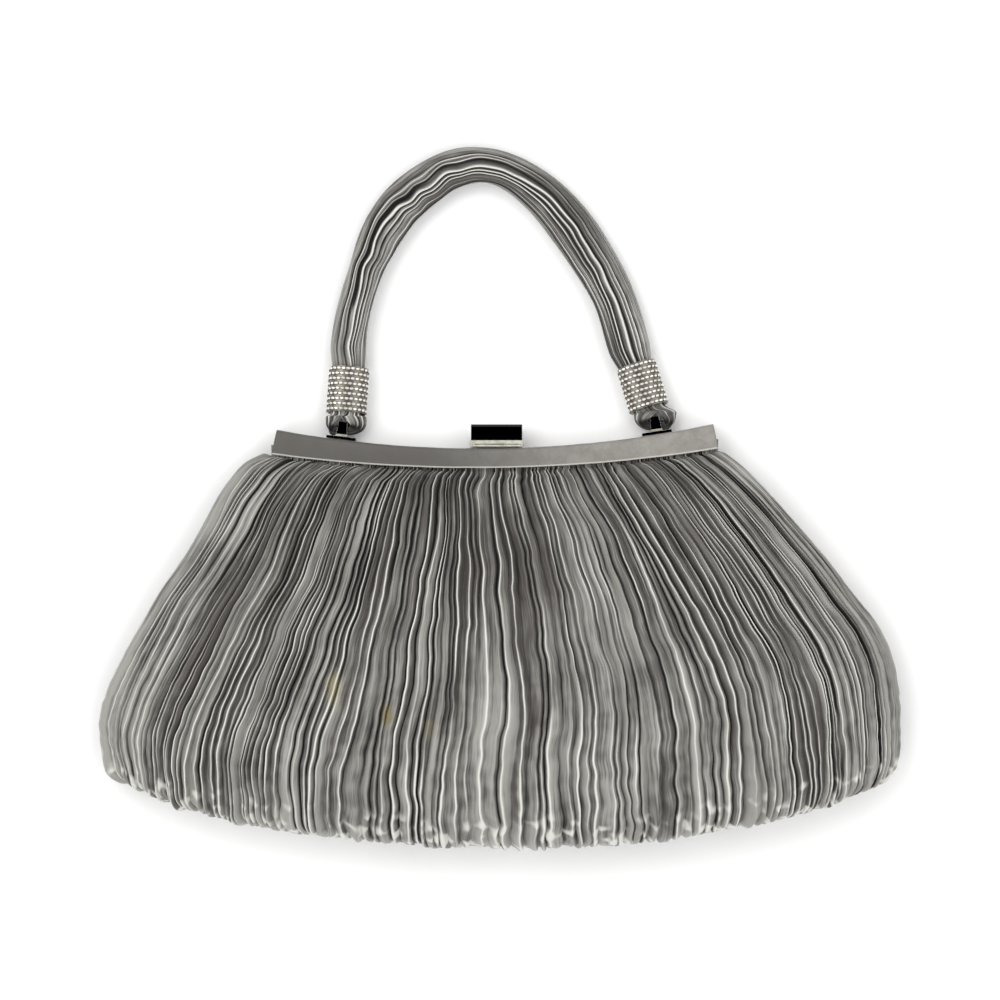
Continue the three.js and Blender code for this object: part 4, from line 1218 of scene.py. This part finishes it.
def cuff(side, word, seed):
    rng = np.random.default_rng(seed)
    shape, stone_faces, metal_faces = stone_points()
    points, glass, metal = [], [], []
    count = 0
    for r in range(STONE_ROWS):
        along = (r + 0.5) * CUFF_LENGTH / STONE_ROWS
        offset = 0.5 * (r % 2) + rng.uniform(-0.12, 0.12)
        angles = even_angles(STONES_ROUND, offset, CUFF_WIDTH / 2, CUFF_THICKNESS / 2)
        for angle in angles:
            place, out, around, up = cuff_frame(side, along + rng.uniform(-0.05, 0.05), angle, STONE_RISE)
            tilt = rng.uniform(-0.09, 0.09, 2)
            leaned = unit(out + around * tilt[0] + up * tilt[1])
            sideways = unit(np.cross(up, leaned))
            points.append(place + shape @ np.array([sideways, np.cross(leaned, sideways), leaned]))
            glass += [tuple(i + count for i in face) for face in stone_faces]
            metal += [tuple(i + count for i in face) for face in metal_faces]
            count += len(shape)
    band, band_faces = cuff_band(side, count)
    points.append(band)
    metal += band_faces
    everything = (np.concatenate(points) + OFFSET) * MM
    mesh = bpy.data.meshes.new(f"stone_cuff_{word}")
    everything[:, 2] = np.maximum(everything[:, 2], 0)
    mesh.from_pydata(everything.tolist(), [], glass + metal)
    piece = add_object(mesh.name, mesh)
    mesh.materials.append(STONES)
    mesh.materials.append(SETTING)
    mesh.polygons.foreach_set("material_index", [0] * len(glass) + [1] * len(metal))
    mesh.update()
    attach(piece, "bag")
    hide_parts(f"cuff_{word}")


def cuff_band(side, start):
    """The metal band behind the stones: a closed ring with a wall."""
    sides = BAND_SIDES
    rings = [(0, BAND_SINK), (CUFF_LENGTH, BAND_SINK), (CUFF_LENGTH, CUFF_WALL), (0, CUFF_WALL)]
    points = []
    faces = []
    for r, (along, sink) in enumerate(rings):
        points += [cuff_frame(side, along, 2 * math.pi * k / sides, sink)[0] for k in range(sides)]
        faces += ring_faces(start + r * sides, start + (r + 1) % len(rings) * sides, sides)
    return np.array(points), faces


# The metal

def polish(node, width):
    """Gives a metal node rounded edges and its finish."""
    piece = NODES[node]
    piece.data.materials.clear()
    piece.data.materials.append(CHROME)
    weld = piece.modifiers.new("weld", "WELD")
    weld.merge_threshold = 1e-6
    bevel = piece.modifiers.new("edges", "BEVEL")
    bevel.width = width * MM
    bevel.segments = 3
    bevel.limit_method = "ANGLE"
    bevel.angle_limit = math.radians(40)
    bevel.harden_normals = True


# Camera, light and floor

CAMERA_HEIGHT = 1.6
FRAME_WIDTH = 1000 * PIXEL_MM * MM
SENSOR = 36
PLANE_HEIGHT = 0.012
FLOOR_HALF = 4
FLOOR_DROP = 0.0002
KEY_PLACE = (-0.9, 0.7, 1.5)
KEY_SIZE = 1.4
KEY_POWER = 6.5
KEY_COLOUR = (1, 0.99, 0.97)


def camera():
    data = bpy.data.cameras.new("camera")
    data.sensor_width = SENSOR
    data.lens = SENSOR * (CAMERA_HEIGHT - PLANE_HEIGHT) / FRAME_WIDTH
    eye = add_object("camera", data)
    x = (500 - MIDDLE_PIXEL[0]) * PIXEL_MM + OFFSET[0]
    y = (MIDDLE_PIXEL[1] - 500) * PIXEL_MM + OFFSET[1]
    eye.location = (x * MM, y * MM, CAMERA_HEIGHT)
    bpy.context.scene.camera = eye


def floor():
    data = bpy.data.meshes.new("floor")
    corners = [(-1, -1), (1, -1), (1, 1), (-1, 1)]
    points = [(x * FLOOR_HALF, y * FLOOR_HALF, -FLOOR_DROP) for x, y in corners]
    data.from_pydata(points, [], [(0, 1, 2, 3)])
    ground = add_object("floor", data)
    material, make = new_material("floor_card")
    make.surface({"Base Color": (1, 1, 1, 1), "Roughness": 0.9, "Specular IOR Level": 0.1})
    data.materials.append(material)


def key_light():
    data = bpy.data.lights.new("key", "AREA")
    data.shape = "DISK"
    data.size = KEY_SIZE
    data.energy = KEY_POWER
    data.color = KEY_COLOUR
    lamp = add_object("key", data)
    lamp.location = KEY_PLACE
    lamp.rotation_euler = (-Vector(KEY_PLACE)).to_track_quat("-Z", "Y").to_euler()


# The sky's brightness by the z of a direction: dark straight above, which the clasp mirrors as black
SKY = table("height tone", [
    (0.0, 0.25),
    (0.5, 0.32),
    (0.75, 1.0),
    (0.93, 1.0),
    (0.965, 0.0),
    (1.0, 0.0),
])
SKY_STRENGTH = 1.88


def sky():
    world = bpy.data.worlds.new("studio")
    bpy.context.scene.world = world
    world.use_nodes = True
    make = Maker(world.node_tree)
    direction = make.node("ShaderNodeTexCoord", {}).outputs["Generated"]
    ramp = make.node("ShaderNodeValToRGB", {"Fac": make.axes(direction)["Z"]})
    stops = ramp.color_ramp.elements
    for row in SKY[1:-1]:
        stops.new(row["height"])
    for stop, row in zip(stops, SKY):
        stop.color = (row["tone"],) * 3 + (1,)
    values = {"Color": ramp.outputs["Color"], "Strength": SKY_STRENGTH}
    make.fill(world.node_tree.nodes["Background"], values)


bpy.context.scene.view_settings.view_transform = "Standard"
camera()
floor()
sky()
key_light()

front = wall_sheet(11, 1, FRONT_PLEATS, FRONT_ROWS, wear_and_highlight=HEM_HIGHLIGHT, broad=BROAD_PLEATS)
body_wall(["bag_front_left", "bag_front_middle", "bag_front_right"], 1, FRONT_PLEATS, front)
back = wall_sheet(51, -1, BACK_PLEATS, BACK_ROWS, depth=BACK_DEPTH)
body_wall(["bag_back"], -1, BACK_PLEATS, back)
bar_cover("frame_cover_front", "frame_bar_front", front_low[2], 1, 71)
bar_cover("frame_cover_back", "frame_bar_back", back_low[2], -1, 81)

handle()
for side, word in ((-1, "left"), (1, "right")):
    handle_loop(side, word, 400 + 30 * side)
    cuff(side, word, 500 + side)
    polish(f"handle_bracket_{word}", 0.1)
    polish(f"hinge_pin_{word}", 0.1)
for node in ("clasp_lever", "clasp_base", "clasp_catch"):
    polish(node, 0.05)
